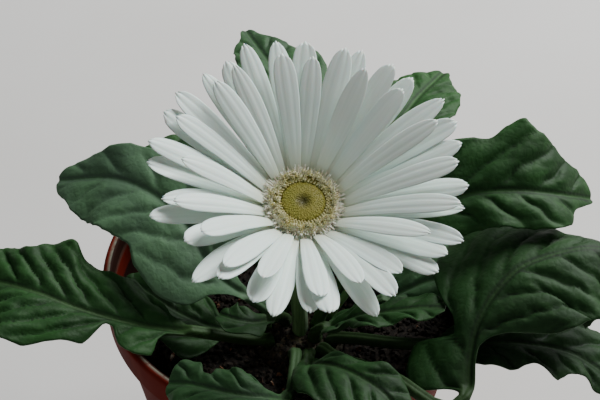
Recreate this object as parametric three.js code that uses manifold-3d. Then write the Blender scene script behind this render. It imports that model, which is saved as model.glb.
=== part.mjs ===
// A white gerbera daisy in a round grower's pot. Millimetres, +Z up.
// The origin is the middle of the pot's underside, on the surface that it stands on.
import * as THREE from 'three';
import { mergeVertices } from 'three/addons/utils/BufferGeometryUtils.js';
import Module from 'manifold-3d';

const wasm = await Module();
wasm.setup();

// ---- driving dimensions ----
const clearance = 0.3; // between two pieces that touch

const pot = {
  height: 115,
  footRadius: 45,
  shoulderRadius: 60.5, // where the wall meets the rim band
  rimRadius: 65,
  bandHeight: 14,
  lipWidth: 3.6,
  wall: 2,
  floor: 2.6,
  holes: 6,
  holeRadius: 4,
  holeRing: 31,
  facets: 36,
};

const soil = { top: 96, relief: 1.1, rings: [12, 24, 36, 47] };

const crown = {
  x: 3.5,
  y: -16,
  radius: 15.5,
  top: 101,
  bottom: 72,
  facets: 16,
  outerRing: 10.8, // where the leaves stand
  innerRing: 5.6,
};

const roots = { count: 5, radius: 2, tipRadius: 0.7, depth: 26, spread: 34 }; // spread about the pot's axis

const petiole = { radius: 2.2, neckRadius: 2, sunk: 90 };

const blade = { thickness: 1, midrib: 1.5 };

const scape = { radius: 2.6, sides: 10, steps: 8 };

// from the crown's middle, with the lean of its face in degrees from upright
const bloomPlace = { x: 1, y: -9, z: 171.5, lean: 16, leanAzimuth: -70 };

// A plain lobed outline: rows of a share of the blade and the half widths to the left and right.
function lobedEdges(half, lobes, phase) {
  return [0, 0.06, 0.13, 0.2, 0.3, 0.42, 0.54, 0.66, 0.78, 0.9, 1].map((share) => {
    const body = half * Math.sqrt(Math.max(0, Math.sin(Math.PI * Math.pow(share, 0.95))));
    const beat = (turn) => 0.5 - 0.5 * Math.cos(2 * Math.PI * (lobes * share + turn));
    const lobe = (turn) => 1 - mix(0.22, 0.06, share) * beat(turn);
    return [share, Math.max(2, body * lobe(phase)), Math.max(2, body * lobe(phase + 0.35))];
  });
}

// Each leaf: its place on the crown (degrees, and whether on the inner ring), the run of its midrib
// to the tip (across and along from the crown's middle, and up from the pot's underside), the share
// of the run where the blade starts, its roll about the midrib at base and tip (degrees, right-hand
// side up), its fold at base and tip (degrees, halves up), the droop and the wave of its edges, the
// ripples a side and their phase, and its outline: a share of the blade, the half widths to its left
// and right.
const leaves = [
  {
    name: 'leaf_01', place: 146,
    run: [[-17, 5, 112], [-27, 3, 125], [-32, 5, 134], [-38, 13, 140], [-49, 24, 143], [-64, 33, 142],
      [-84, 40, 134]],
    start: 0.2, roll: [22, 20], fold: [8, 8], droop: 0.1, wave: 1.4, ripples: 3.8, phase: 0.2,
    edges: [[0, 2, 2], [0.07, 2.5, 3], [0.13, 4, 6], [0.19, 8, 9], [0.22, 16, 11], [0.26, 20.5, 13],
      [0.34, 22, 15], [0.44, 19.3, 16], [0.54, 19.8, 15.5], [0.64, 19.7, 14.5], [0.74, 18.2, 13],
      [0.84, 15, 9.5], [0.93, 8.4, 6.3], [1, 2, 1.5]],
  },
  {
    name: 'leaf_02', place: 206,
    run: [[-18, -10, 108], [-36, -14, 117], [-54, -14, 121], [-72, -11, 125], [-90, -5, 128],
      [-114, 6, 123]],
    start: 0.34, roll: [4, 8], fold: [10, 10], droop: 0.14, wave: 2.2, ripples: 4.8, phase: 0.6,
    edges: [[0, 2, 2], [0.1, 2.2, 5], [0.14, 5, 9], [0.165, 12, 11], [0.2, 13, 13], [0.26, 10.5, 16.5],
      [0.31, 3, 15.5], [0.335, 2.6, 16], [0.37, 12.5, 17], [0.44, 15.5, 18.5], [0.54, 20.5, 22.5],
      [0.64, 22, 20], [0.74, 22, 14.5], [0.84, 17, 14.5], [0.93, 9, 8], [1, 1.2, 1.2]],
  },
  {
    name: 'leaf_03', place: 174,
    run: [[-15, 0, 105], [-27, -4, 107], [-37, -3, 111], [-45, 0, 114], [-53, 5, 116.5],
      [-60, 10, 116.5]],
    start: 0.32, roll: [0, 0], fold: [4, 4], droop: 0.1, wave: 1.2, ripples: 3.6, phase: 0.1,
    edges: [[0, 2, 2], [0.12, 2.5, 4], [0.19, 6, 7], [0.26, 11.5, 10], [0.34, 16.5, 11.5],
      [0.44, 14.5, 12], [0.54, 12.5, 12], [0.64, 12, 11], [0.74, 11, 10], [0.84, 9, 8], [0.93, 6, 5.5],
      [1, 1.5, 1.5]],
  },
  {
    name: 'leaf_04', place: 140, inner: true,
    run: [[-6.3, 0, 108], [-10.2, -7, 115], [-14.8, -11.5, 119], [-19.7, -12.7, 121],
      [-24.4, -11, 121], [-27, -8.6, 119.5]],
    start: 0.56, roll: [0, 0], fold: [8, 8], droop: 0.1, wave: 0.8, ripples: 3, phase: 0.1,
    edges: [[0, 2, 2], [0.12, 2.2, 3.5], [0.22, 2.6, 5], [0.32, 5, 6.2], [0.4, 7.3, 6.8], [0.48, 7, 7],
      [0.57, 6.7, 7], [0.65, 6.1, 6.6], [0.74, 5.2, 5.8], [0.88, 3, 3.8], [1, 1.2, 1.2]],
  },
  {
    name: 'leaf_05', place: 262,
    run: [[-1.3, -13.6, 103.5], [-2, -23.3, 105], [-2.8, -33, 108.7], [-5.4, -40.4, 115.6],
      [-11.3, -44.2, 121], [-18.8, -45, 123], [-27.1, -42.9, 123], [-34.8, -40.2, 122],
      [-42.1, -37.9, 119.5]],
    start: 0.48, roll: [0, 0], fold: [10, 10], droop: 0.15, wave: 1.2, ripples: 4, phase: 0.3,
    edges: [[0, 2, 2], [0.1, 3, 2], [0.2, 6, 2.6], [0.24, 7.5, 3.5], [0.27, 9, 7.6], [0.31, 10, 10.3],
      [0.45, 11, 9.5], [0.58, 11, 9], [0.64, 10.5, 7.7], [0.685, 10.2, 4.9], [0.735, 10, 5],
      [0.785, 9.6, 9.2], [0.87, 8, 9.6], [0.94, 5.5, 7.4], [1, 1.2, 1.2]],
  },
  {
    name: 'leaf_06', place: 286,
    run: [[3, -22, 110], [6, -28, 118], [12, -34, 123.5], [20, -41, 126], [28, -48, 124.5],
      [35, -57, 115.5]],
    start: 0.22, roll: [0, 0], fold: [5, 5], droop: 0.1, wave: 1.4, ripples: 3.6, phase: 0.5,
    edges: [[0, 2, 2], [0.06, 3, 3], [0.12, 5, 4.2], [0.17, 5.5, 5.8], [0.22, 5.6, 8.2],
      [0.28, 5.6, 11.5], [0.34, 6, 14.8], [0.42, 6.2, 16.4], [0.54, 6.4, 17.2], [0.63, 9, 17],
      [0.7, 9, 16], [0.8, 6.5, 13.5], [0.91, 4.5, 8.5], [1, 1.2, 1.2]],
  },
  {
    name: 'leaf_07', place: 325, inner: true,
    run: [[6, -6, 108], [12, -9, 115], [19, -11, 122], [28, -13, 126], [38, -14, 129],
      [47, -15.5, 130.5]],
    start: 0.34, roll: [16, 12], fold: [8, 8], droop: 0.1, wave: 1.6, ripples: 3.6, phase: 0.5,
    edges: [[0, 2, 2], [0.05, 5, 5], [0.12, 9, 7.5], [0.18, 10.5, 9], [0.25, 10, 3.5], [0.34, 8, 8],
      [0.44, 5, 11.5], [0.54, 6, 9], [0.64, 6.5, 7.2], [0.74, 7, 8], [0.84, 6.5, 7], [0.93, 5, 5],
      [1, 1.8, 1.8]],
  },
  {
    name: 'leaf_08', place: 310,
    run: [[13, -16, 105], [23, -27, 113.5], [32, -37, 119.5], [42, -46, 119.5], [49, -48, 120],
      [53, -42, 122.5], [54, -33, 128], [57, -24, 134.5], [64, -15, 140.5], [74, -8, 144.5],
      [94, -3, 146], [112, -2, 138]],
    start: 0.46, roll: [0, 0], fold: [-2, -28], droop: 0.08, wave: 1.8, ripples: 3.8, phase: 0.55,
    edges: [[0, 2, 2], [0.05, 10, 2], [0.09, 19, 2], [0.14, 21, 2], [0.18, 20, 2.2], [0.215, 7, 4],
      [0.26, 9, 8.5], [0.3, 18, 16], [0.35, 27, 24.5], [0.44, 31, 28], [0.54, 30, 26], [0.64, 24, 25],
      [0.7, 15, 24], [0.76, 9, 22], [0.85, 6, 17], [0.93, 4, 10], [1, 1.2, 1.5]],
  },
  {
    name: 'leaf_09', place: 20, inner: true,
    run: [[10, 4, 112], [22, 8, 130], [38, 11, 145], [54, 14, 153], [71, 14, 155], [86, 16, 151],
      [98, 22, 143]],
    start: 0.42, roll: [-34, -26], fold: [8, 8], droop: 0.1, wave: 1.6, ripples: 3.6, phase: 0.4,
    edges: [[0, 2, 2], [0.06, 6, 5], [0.13, 11, 8.5], [0.2, 15, 11], [0.27, 17.5, 12.5],
      [0.35, 18.5, 13], [0.44, 17.5, 13], [0.5, 22, 13], [0.55, 24.5, 13], [0.64, 20, 13],
      [0.74, 16.5, 12.5], [0.8, 13.5, 10.5], [0.86, 11, 5], [0.94, 8, 3], [1, 2.5, 1.2]],
  },
  {
    name: 'leaf_10', place: 336,
    run: [[18, -8, 106], [33, -16, 113], [46, -21, 118.5], [57, -22, 121], [73, -22, 120.5],
      [90, -24, 117], [108, -30, 106]],
    start: 0.42, roll: [0, 0], fold: [6, 6], droop: 0.12, wave: 1.8, ripples: 4.2, phase: 0.1,
    edges: [[0, 2, 2], [0.06, 4.5, 4.5], [0.13, 7, 7.5], [0.2, 9, 9.5], [0.27, 11, 10.3],
      [0.35, 12, 10.3], [0.44, 13, 8.4], [0.54, 14, 12.5], [0.64, 15, 8.6], [0.74, 15.5, 7.5],
      [0.84, 12.5, 8], [0.93, 7.5, 5.5], [1, 1.2, 1.2]],
  },
  {
    name: 'leaf_11', place: 88,
    run: [[-1, 15, 114], [-3, 26, 134], [-5, 42, 148], [-7, 66, 156.5], [-19.8, 99.2, 153]],
    start: 0.4, roll: [0, 0], fold: [10, 10], droop: 0.12, wave: 1.2, ripples: 4, phase: 0.7,
    edges: [[0, 2, 2], [0.08, 4.5, 5], [0.18, 8, 9.5], [0.3, 10.5, 14], [0.44, 13, 17.5],
      [0.58, 13, 17.7], [0.66, 12, 14.6], [0.76, 10.4, 10.8], [0.85, 8.5, 7.4], [0.93, 3.9, 4.1],
      [1, 1.2, 1.2]],
  },
  {
    name: 'leaf_12', place: 60,
    run: [[8, 13, 112], [17, 26, 130], [29, 46, 143], [40, 66, 147], [53, 92, 139]],
    start: 0.4, roll: [0, 0], fold: [10, 10], droop: 0.12, wave: 1, ripples: 4, phase: 0.2,
    edges: [[0, 2, 2], [0.08, 4.5, 5], [0.18, 8, 9], [0.3, 11, 13], [0.43, 13.5, 15.5],
      [0.56, 13.5, 16], [0.66, 12.8, 15], [0.75, 11.2, 12.5], [0.85, 7.6, 8.2], [0.94, 4.4, 4],
      [1, 2, 2]],
  },
  {
    name: 'leaf_13', place: 118,
    run: [[-10, 15, 108], [-20, 30, 120], [-31, 46, 127], [-42, 62, 127], [-52, 78, 118]],
    start: 0.4, roll: [0, 0], fold: [8, 8], droop: 0.14, wave: 1.8, ripples: 4.2, phase: 0.9,
    edges: lobedEdges(15, 3.6, 0.9),
  },
  {
    name: 'leaf_14', place: 32,
    run: [[15, 11, 107], [30, 28, 118], [48, 46, 124], [66, 60, 122], [80, 74, 112]],
    start: 0.42, roll: [0, 0], fold: [8, 8], droop: 0.14, wave: 1.8, ripples: 4.2, phase: 0.4,
    edges: lobedEdges(14, 3.6, 0.4),
  },
  {
    name: 'leaf_15', place: 4,
    run: [[17, 2, 106], [31, 4, 114], [44, 6, 120], [60, 7, 122], [78, 8, 117]],
    start: 0.38, roll: [-6, -6], fold: [8, 8], droop: 0.1, wave: 1.6, ripples: 3.8, phase: 0.6,
    edges: lobedEdges(14, 3.2, 0.6),
  },
];

// Ray florets stand in two rows with partings (degrees) that the neighbours lean away from.
const rays = {
  outer: { count: 32, root: 12.3, level: -0.9, length: 41, rise: [37, 17], width: 3.7 },
  inner: { count: 19, root: 11.7, level: -0.3, length: 37, rise: [43, 25], width: 3.4 },
  partings: [9, 85, 139, 209, 285, 316],
  partingWidth: 3,
  skew: 0.075, // how much longer those toward +X are
  thickness: 0.7,
  seat: -1.7, // underside of the florets, above the receptacle
};

const transFlorets = {
  count: 32,
  ring: [9.4, 10.6],
  length: 4.6,
  rise: [80, 34],
  width: 0.8,
  thickness: 0.65,
};

const discFlorets = { count: 32, ring: [7.1, 9.2], radius: 0.55, height: 3.4 };

const discBuds = { count: 32, radius: 6.8, height: 2.2, dimple: 0.9, bud: 0.62 };

const bloomFacets = 24;

const receptacle = { radius: 13, top: -2, depth: 14, neck: 3.4 };

const bracts = { perRow: 12, length: 10, width: 1.8, thickness: 0.8, rise: [56, 24] };

// ---- helpers ----
const degrees = Math.PI / 180;
const upright = new THREE.Vector3(0, 0, 1);

function seededRandom(seed) {
  let state = seed;
  return () => {
    state = (state + 0x6d2b79f5) | 0;
    let mixed = Math.imul(state ^ (state >>> 15), 1 | state);
    mixed = (mixed + Math.imul(mixed ^ (mixed >>> 7), 61 | mixed)) ^ mixed;
    return ((mixed ^ (mixed >>> 14)) >>> 0) / 4294967296;
  };
}

function mix(a, b, share) {
  return a + (b - a) * share;
}

// A closed solid through rings of equally many points, with flat ends.
function loft(rings) {
  const count = rings[0].length;
  const positions = rings.flat().flatMap((point) => [point.x, point.y, point.z]);
  const index = [];
  for (let row = 0; row < rings.length - 1; row++) {
    for (let i = 0; i < count; i++) {
      const next = (i + 1) % count;
      const [a, b] = [row * count + i, row * count + next];
      const [c, d] = [a + count, b + count];
      // the same diagonal on the upper and the lower face of a blade
      if (i < count / 2) index.push(a, b, d, a, d, c);
      else index.push(a, b, c, b, d, c);
    }
  }
  const last = (rings.length - 1) * count;
  for (let i = 1; i < count - 1; i++) {
    index.push(0, i + 1, i, last, last + i, last + i + 1);
  }
  const geometry = new THREE.BufferGeometry();
  geometry.setAttribute('position', new THREE.Float32BufferAttribute(positions, 3));
  geometry.setIndex(index);
  return geometry;
}

function signedVolume(geometry) {
  const position = geometry.attributes.position;
  const index = geometry.index.array;
  const [a, b, c] = [new THREE.Vector3(), new THREE.Vector3(), new THREE.Vector3()];
  let volume = 0;
  for (let i = 0; i < index.length; i += 3) {
    a.fromBufferAttribute(position, index[i]);
    b.fromBufferAttribute(position, index[i + 1]);
    c.fromBufferAttribute(position, index[i + 2]);
    volume += a.dot(b.cross(c)) / 6;
  }
  return volume;
}

function toSolid(source) {
  const bare = source.clone();
  bare.deleteAttribute('normal');
  bare.deleteAttribute('uv');
  const merged = mergeVertices(bare, 1e-4);
  if (signedVolume(merged) < 0) merged.index.array.reverse();
  const vertProperties = new Float32Array(merged.attributes.position.array);
  const triVerts = new Uint32Array(merged.index.array);
  return new wasm.Manifold(new wasm.Mesh({ numProp: 3, vertProperties, triVerts }));
}

function toGeometry(solid) {
  const { vertProperties, triVerts } = solid.getMesh();
  const geometry = new THREE.BufferGeometry();
  geometry.setAttribute('position', new THREE.BufferAttribute(vertProperties, 3));
  geometry.setIndex(new THREE.BufferAttribute(triVerts, 1));
  return geometry;
}

function fuse(geometries) {
  return geometries.map(toSolid).reduce((whole, piece) => whole.add(piece));
}

function material(color, roughness) {
  return new THREE.MeshStandardMaterial({ color, roughness, metalness: 0 });
}

function named(name, geometry, look) {
  const mesh = new THREE.Mesh(geometry, look);
  geometry.computeVertexNormals();
  mesh.name = name;
  return mesh;
}

// A lathe about +Z from a profile of [radius, height] points.
function turned(profile, facets) {
  const geometry = new THREE.LatheGeometry(profile.map(([r, z]) => new THREE.Vector2(r, z)), facets);
  return geometry.rotateX(Math.PI / 2);
}

// A round tapering stem along a curve, from one share of its length to another.
function taperedStem(curve, from, to, radiusAt, sides, steps) {
  const rings = [];
  for (let row = 0; row <= steps; row++) {
    const share = mix(from, to, row / steps);
    const centre = curve.getPointAt(share);
    const along = curve.getTangentAt(share);
    const side = new THREE.Vector3(0, 1, 0).cross(along).normalize();
    const up = along.clone().cross(side);
    const ring = [];
    for (let i = 0; i < sides; i++) {
      const angle = (2 * Math.PI * i) / sides;
      ring.push(centre.clone()
        .addScaledVector(side, Math.cos(angle) * radiusAt(share))
        .addScaledVector(up, Math.sin(angle) * radiusAt(share)));
    }
    rings.push(ring);
  }
  return loft(rings);
}

function fromCrown([across, along, z]) {
  return new THREE.Vector3(crown.x + across, crown.y + along, z);
}

// ---- pot ----
function innerRadius(z) {
  return mix(pot.footRadius, pot.shoulderRadius, z / (pot.height - pot.bandHeight)) - pot.wall;
}

function makePot() {
  const bandFoot = pot.height - pot.bandHeight;
  const lipInside = pot.rimRadius - pot.lipWidth;
  const profile = [
    [0, 0],
    [pot.footRadius - 1.5, 0],
    [pot.footRadius, 1.5],
    [pot.shoulderRadius, bandFoot - 1],
    [pot.rimRadius - 1.6, bandFoot],
    [pot.rimRadius - 0.4, pot.height - 1.2],
    [pot.rimRadius - 0.9, pot.height],
    [lipInside, pot.height],
    [lipInside - 0.5, bandFoot + 1],
    [innerRadius(bandFoot - 3), bandFoot - 3],
    [innerRadius(pot.floor), pot.floor],
    [0, pot.floor],
  ];
  let body = toSolid(turned(profile, pot.facets));
  for (let i = 0; i < pot.holes; i++) {
    const angle = (2 * Math.PI * (i + 0.5)) / pot.holes;
    const drain = new THREE.CylinderGeometry(pot.holeRadius, pot.holeRadius, 4 * pot.floor, 12);
    drain.rotateX(Math.PI / 2);
    drain.translate(pot.holeRing * Math.cos(angle), pot.holeRing * Math.sin(angle), 0);
    body = body.subtract(toSolid(drain));
  }
  return toGeometry(body);
}

// ---- rootstock and its roots ----
function crownBody(grow) {
  const { radius, top, bottom } = crown;
  const profile = [
    [0, bottom - grow],
    [radius * 0.45 + grow, bottom + 1 - grow],
    [radius * 0.85 + grow, bottom + 9 - grow],
    [radius + grow, bottom + 18],
    [radius + grow, soil.top],
    [radius - 1.4 + grow, top - 2.6 + grow],
    [radius - 4.5, top + grow],
    [0, top + grow],
  ];
  return turned(profile, crown.facets).translate(crown.x, crown.y, 0);
}

function rootCurve(i, random, grow) {
  const angle = (2 * Math.PI * (i + 0.3 * random())) / roots.count;
  const spread = roots.spread * (0.8 + 0.2 * random());
  const at = (share, z) => new THREE.Vector3(
    mix(crown.x, spread * Math.cos(angle), share), mix(crown.y, spread * Math.sin(angle), share), z);
  return new THREE.CatmullRomCurve3([at(0.12, crown.bottom + 8), at(0.55, crown.bottom - 4),
    at(0.88, mix(crown.bottom, roots.depth, 0.55)), at(1, roots.depth - grow)]);
}

function rootstockSolid(grow) {
  const random = seededRandom(11);
  const pieces = [crownBody(grow)];
  for (let i = 0; i < roots.count; i++) {
    const radiusAt = (share) => mix(roots.radius, roots.tipRadius, share) + grow;
    pieces.push(taperedStem(rootCurve(i, random, grow), 0, 1, radiusAt, 5, 4));
  }
  if (grow > 0) {
    const neck = new THREE.CylinderGeometry(crown.radius + grow, crown.radius + grow, 20, crown.facets);
    pieces.push(neck.rotateX(Math.PI / 2).translate(crown.x, crown.y, soil.top + 8));
  }
  return fuse(pieces);
}

// ---- soil ----
function soilHeight(x, y) {
  const lumps = Math.sin(x * 0.31 + 1.3) * Math.cos(y * 0.27 - 0.4) + 0.6 * Math.sin(x * 0.17 - y * 0.38);
  return soil.top + soil.relief * lumps * 0.6;
}

function makeSoil() {
  const radiusAt = (z) => innerRadius(z) - clearance;
  const foot = pot.floor + clearance;
  const shoulder = soil.top - 2.2;
  const rims = [[radiusAt(foot), foot], [radiusAt(shoulder), shoulder]];
  const rings = rims.map(([radius, z]) => soilRing(radius, () => z));
  for (const radius of [...soil.rings].reverse()) rings.push(soilRing(radius, soilHeight));
  const grown = rootstockSolid(clearance);
  return toGeometry(toSolid(loft(rings)).subtract(grown));
}

function soilRing(radius, heightAt) {
  const ring = [];
  for (let i = 0; i < pot.facets; i++) {
    const angle = (2 * Math.PI * i) / pot.facets;
    const [x, y] = [radius * Math.sin(angle), radius * Math.cos(angle)];
    ring.push(new THREE.Vector3(x, y, heightAt(x, y)));
  }
  return ring;
}

// ---- leaves ----
function leafCurve(leaf) {
  const ring = leaf.inner ? crown.innerRing : crown.outerRing;
  const [dx, dy] = [Math.cos(leaf.place * degrees), Math.sin(leaf.place * degrees)];
  const foot = new THREE.Vector3(crown.x + dx * ring, crown.y + dy * ring, petiole.sunk);
  const exit = foot.clone().add(new THREE.Vector3(dx * 0.7, dy * 0.7, crown.top - petiole.sunk));
  const run = leaf.run.map(fromCrown);
  return new THREE.CatmullRomCurve3([foot, exit, ...run], false, 'catmullrom', 0.5);
}

// The frame of the midrib: along, to the right-hand side, and up out of the blade.
function midribFrame(leaf, curve, share, bladeShare) {
  const sunk = sunkShare(curve);
  const along = share > sunk
    ? curve.getTangentAt(share)
    : curve.getPointAt(sunk).sub(curve.getPointAt(0)).normalize();
  const span = curve.getPoint(1).sub(curve.getPoint(0)).setZ(0).normalize();
  const heading = along.clone().setZ(0).addScaledVector(span, 0.35);
  const side = heading.cross(upright);
  side.addScaledVector(along, -side.dot(along)).normalize();
  side.applyAxisAngle(along, -mix(leaf.roll[0], leaf.roll[1], bladeShare) * degrees);
  return { along, side, up: side.clone().cross(along) };
}

const bladeColumns = [-1, -0.5, 0, 0.5, 1];
const petioleStations = [0.4, 0.7];

function petioleRing(leaf, curve, share) {
  const { side, up } = midribFrame(leaf, curve, share, 0);
  const centre = curve.getPointAt(share);
  const radius = mix(petiole.radius, petiole.neckRadius, share / leaf.start);
  const ring = [];
  for (let i = 0; i < 10; i++) {
    const angle = Math.PI * (0.9 - i * 0.2);
    ring.push(centre.clone()
      .addScaledVector(side, radius * Math.cos(angle))
      .addScaledVector(up, radius * Math.sin(angle)));
  }
  return ring;
}

function bladePoint(leaf, centre, frame, row, column) {
  const right = column > 0;
  const reach = Math.abs(column);
  const side = right ? 2 : 1;
  const [share, half] = [row[0], row[side]];
  const fullHalf = Math.max(...leaf.edges.map((edge) => edge[side]));
  const ripple = Math.sin(2 * Math.PI * (leaf.ripples * share + leaf.phase + (right ? 0.15 : 0.6)));
  const fold = mix(leaf.fold[0], leaf.fold[1], share) * degrees;
  const lift = half * (reach * Math.sin(fold) - leaf.droop * reach * reach)
    + leaf.wave * reach * reach * ripple * Math.min(1, half / fullHalf);
  const sweep = mix(-0.4, 0.35, Math.min(1, share * 2.2)) * half * reach * (1 - share * 0.6);
  return centre.clone()
    .addScaledVector(frame.side, column * half * Math.cos(fold))
    .addScaledVector(frame.up, lift)
    .addScaledVector(frame.along, sweep);
}

function bladeRing(leaf, curve, row) {
  const share = row[0];
  const at = mix(leaf.start, 1, share);
  const frame = midribFrame(leaf, curve, at, share);
  const centre = curve.getPointAt(at);
  const upper = bladeColumns.map((column) => bladePoint(leaf, centre, frame, row, column));
  const lower = upper.map((point, i) => {
    const rib = bladeColumns[i] === 0 ? blade.midrib * (1 - share) : 0;
    return point.clone().addScaledVector(frame.up, -blade.thickness - rib);
  });
  return [...upper, ...lower.reverse()];
}

function leafRings(leaf) {
  const curve = leafCurve(leaf);
  const sunk = sunkShare(curve);
  const stations = [0, sunk, ...petioleStations.map((station) => mix(sunk, leaf.start, station))];
  const stalk = stations.map((station) => petioleRing(leaf, curve, station));
  return [...stalk, ...leaf.edges.map((row) => bladeRing(leaf, curve, row))];
}

// The share of a stem's run that stands in the crown.
function sunkShare(curve) {
  let share = 0;
  while (curve.getPointAt(share).z < crown.top) share += 0.004;
  return share;
}

// A stem's plain socket in the crown.
function stemSocket(curve, radius) {
  const foot = curve.getPointAt(0);
  const exit = curve.getPointAt(sunkShare(curve));
  const deeper = foot.clone().lerp(exit, -clearance / (crown.top - petiole.sunk));
  const past = foot.clone().lerp(exit, 1.3);
  const line = new THREE.LineCurve3(deeper, past);
  return toSolid(taperedStem(line, 0, 1, () => radius + 1.3 * clearance, 8, 1));
}

// ---- flower stalk ----
function bloomFrame() {
  const lean = new THREE.Vector3(
    Math.sin(bloomPlace.lean * degrees) * Math.cos(bloomPlace.leanAzimuth * degrees),
    Math.sin(bloomPlace.lean * degrees) * Math.sin(bloomPlace.leanAzimuth * degrees),
    Math.cos(bloomPlace.lean * degrees));
  return { centre: fromCrown([bloomPlace.x, bloomPlace.y, bloomPlace.z]), up: lean };
}

function scapeCurve() {
  const { centre, up } = bloomFrame();
  const end = centre.clone().addScaledVector(up, -receptacle.depth - clearance);
  const below = end.clone().addScaledVector(up, -12);
  return new THREE.CatmullRomCurve3([
    new THREE.Vector3(crown.x, crown.y, petiole.sunk),
    new THREE.Vector3(crown.x, crown.y, crown.top + 6),
    new THREE.Vector3(crown.x - 1, crown.y - 0.5, crown.top + 26),
    below,
    end,
  ]);
}

function makeScape() {
  const { radius, sides, steps } = scape;
  return taperedStem(scapeCurve(), 0, 1, (share) => mix(radius * 1.06, radius * 0.94, share), sides, steps);
}

// ---- bloom, in its own frame: +Z out of its face, its disc's rim at z = 0 ----
const strapStations = [[0, 0.3], [0.35, 0.68], [0.68, 0.99], [0.92, 0.7], [1, 0.22]];

// A strap that rises outward from the axis, its slope easing from the first angle to the second.
function strap(shape) {
  const { azimuth, root, level, length, rise, width, thickness, arched, stations } = shape;
  const { twist = 0, bend = 0 } = shape;
  const [from, to] = rise.map((angle) => angle * degrees);
  const rings = stations.map(([share, breadth]) => {
    const slope = mix(from, to, share);
    const out = root + (length * (Math.sin(slope) - Math.sin(from))) / (to - from);
    const height = level - (length * (Math.cos(slope) - Math.cos(from))) / (to - from);
    const turn = (azimuth + bend * share) * degrees;
    const radial = new THREE.Vector3(Math.cos(turn), Math.sin(turn), 0);
    const along = radial.clone().multiplyScalar(Math.cos(slope)).addScaledVector(upright, Math.sin(slope));
    const side = upright.clone().cross(radial).applyAxisAngle(along, twist * share * degrees);
    const up = along.clone().cross(side);
    const centre = radial.clone().multiplyScalar(out).addScaledVector(upright, height);
    const half = width * breadth;
    const place = (across, lift) => centre.clone().addScaledVector(side, across).addScaledVector(up, lift);
    if (!arched) return [place(half, 0), place(-half, 0), place(-half, -thickness), place(half, -thickness)];
    const arch = 0.12 * half;
    return [place(half, 0), place(0, arch), place(-half, 0),
      place(-half, -thickness), place(0, arch - thickness), place(half, -thickness)];
  });
  return loft(rings);
}

function partedAzimuth(azimuth) {
  let shift = 0;
  for (const parting of rays.partings) {
    const away = ((azimuth - parting + 540) % 360) - 180;
    shift += Math.sign(away) * rays.partingWidth * Math.exp(-Math.pow(away / 9, 2));
  }
  return azimuth + shift;
}

function rayRow(row, random, offset) {
  const florets = [];
  for (let i = 0; i < row.count; i++) {
    const lifted = i % 2;
    const azimuth = partedAzimuth((360 * (i + offset + 0.35 * (random() - 0.5))) / row.count);
    const stretch = 1 + rays.skew * Math.max(0, Math.cos(azimuth * degrees));
    florets.push(strap({
      azimuth,
      root: row.root - 0.3 * lifted,
      level: row.level + 0.5 * lifted,
      length: row.length * stretch * (0.93 + 0.12 * random()),
      rise: [row.rise[0] + 3 * lifted, row.rise[1] + 3 * lifted + 5 * (random() - 0.5)],
      width: row.width * (0.92 + 0.14 * random()),
      thickness: rays.thickness,
      twist: 14 * (random() - 0.5),
      bend: 3 * (random() - 0.5),
      arched: true,
      stations: strapStations,
    }));
  }
  return florets;
}

function makeRayFlorets() {
  const random = seededRandom(3);
  const collar = turned([[11.4, rays.seat], [13.2, rays.seat], [13.2, -0.4], [11.4, 0.2], [11.4, rays.seat]],
    bloomFacets);
  return toGeometry(fuse([collar, ...rayRow(rays.outer, random, 0.1), ...rayRow(rays.inner, random, 0.4)]));
}

function makeTransFlorets() {
  const random = seededRandom(5);
  const [inside, outside] = transFlorets.ring;
  const collar = turned([[inside, rays.seat], [outside, rays.seat], [outside, 0.8], [inside, 1.6],
    [inside, rays.seat]], bloomFacets);
  const pieces = [collar];
  for (let i = 0; i < transFlorets.count; i++) {
    pieces.push(strap({
      azimuth: (360 * (i + 0.4 * (random() - 0.5))) / transFlorets.count,
      root: mix(inside, outside, 0.35 + 0.25 * (i % 2)),
      level: 0.2,
      length: transFlorets.length * (0.85 + 0.3 * random()),
      rise: [transFlorets.rise[0], transFlorets.rise[1] + 20 * (random() - 0.5)],
      width: transFlorets.width,
      thickness: transFlorets.thickness,
      stations: [[0, 0.7], [0.55, 0.9], [1, 0.6]],
    }));
  }
  return toGeometry(fuse(pieces));
}

function makeDiscFlorets() {
  const random = seededRandom(7);
  const [inside, outside] = discFlorets.ring;
  const pieces = [turned([[inside, rays.seat], [outside, rays.seat], [outside, 1], [inside, 1.4],
    [inside, rays.seat]], bloomFacets)];
  for (let i = 0; i < discFlorets.count; i++) {
    const angle = (2 * Math.PI * (i + 0.3 * random())) / discFlorets.count;
    const out = mix(inside, outside, i % 2 ? 0.3 : 0.68);
    const height = discFlorets.height * (0.85 + 0.3 * random());
    const tube = new THREE.CylinderGeometry(discFlorets.radius * 1.15, discFlorets.radius * 0.8, height, 4);
    tube.rotateX(Math.PI / 2).translate(out * Math.cos(angle), out * Math.sin(angle), 0.4 + height / 2);
    pieces.push(tube);
  }
  return toGeometry(fuse(pieces));
}

function makeDiscBuds() {
  const { count, radius, height, dimple, bud } = discBuds;
  const hollow = (r) => dimple * Math.exp(-Math.pow(r / 1.6, 2));
  const topAt = (r) => height * (1 - 0.55 * Math.pow(r / radius, 2)) - hollow(r);
  const profile = [[0, rays.seat], [radius, rays.seat], [radius, topAt(radius)]];
  for (const share of [0.8, 0.6, 0.4, 0.2]) profile.push([radius * share, topAt(radius * share)]);
  profile.push([0, topAt(0)]);
  const pieces = [turned(profile, 24)];
  const goldenAngle = Math.PI * (3 - Math.sqrt(5));
  for (let i = 0; i < count; i++) {
    const out = (radius - bud) * Math.sqrt((i + 0.5) / count);
    const cone = new THREE.ConeGeometry(bud, 1.5, 4).rotateX(Math.PI / 2);
    cone.translate(out * Math.cos(i * goldenAngle), out * Math.sin(i * goldenAngle), topAt(out) + 0.25);
    pieces.push(cone);
  }
  return toGeometry(fuse(pieces));
}

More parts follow.
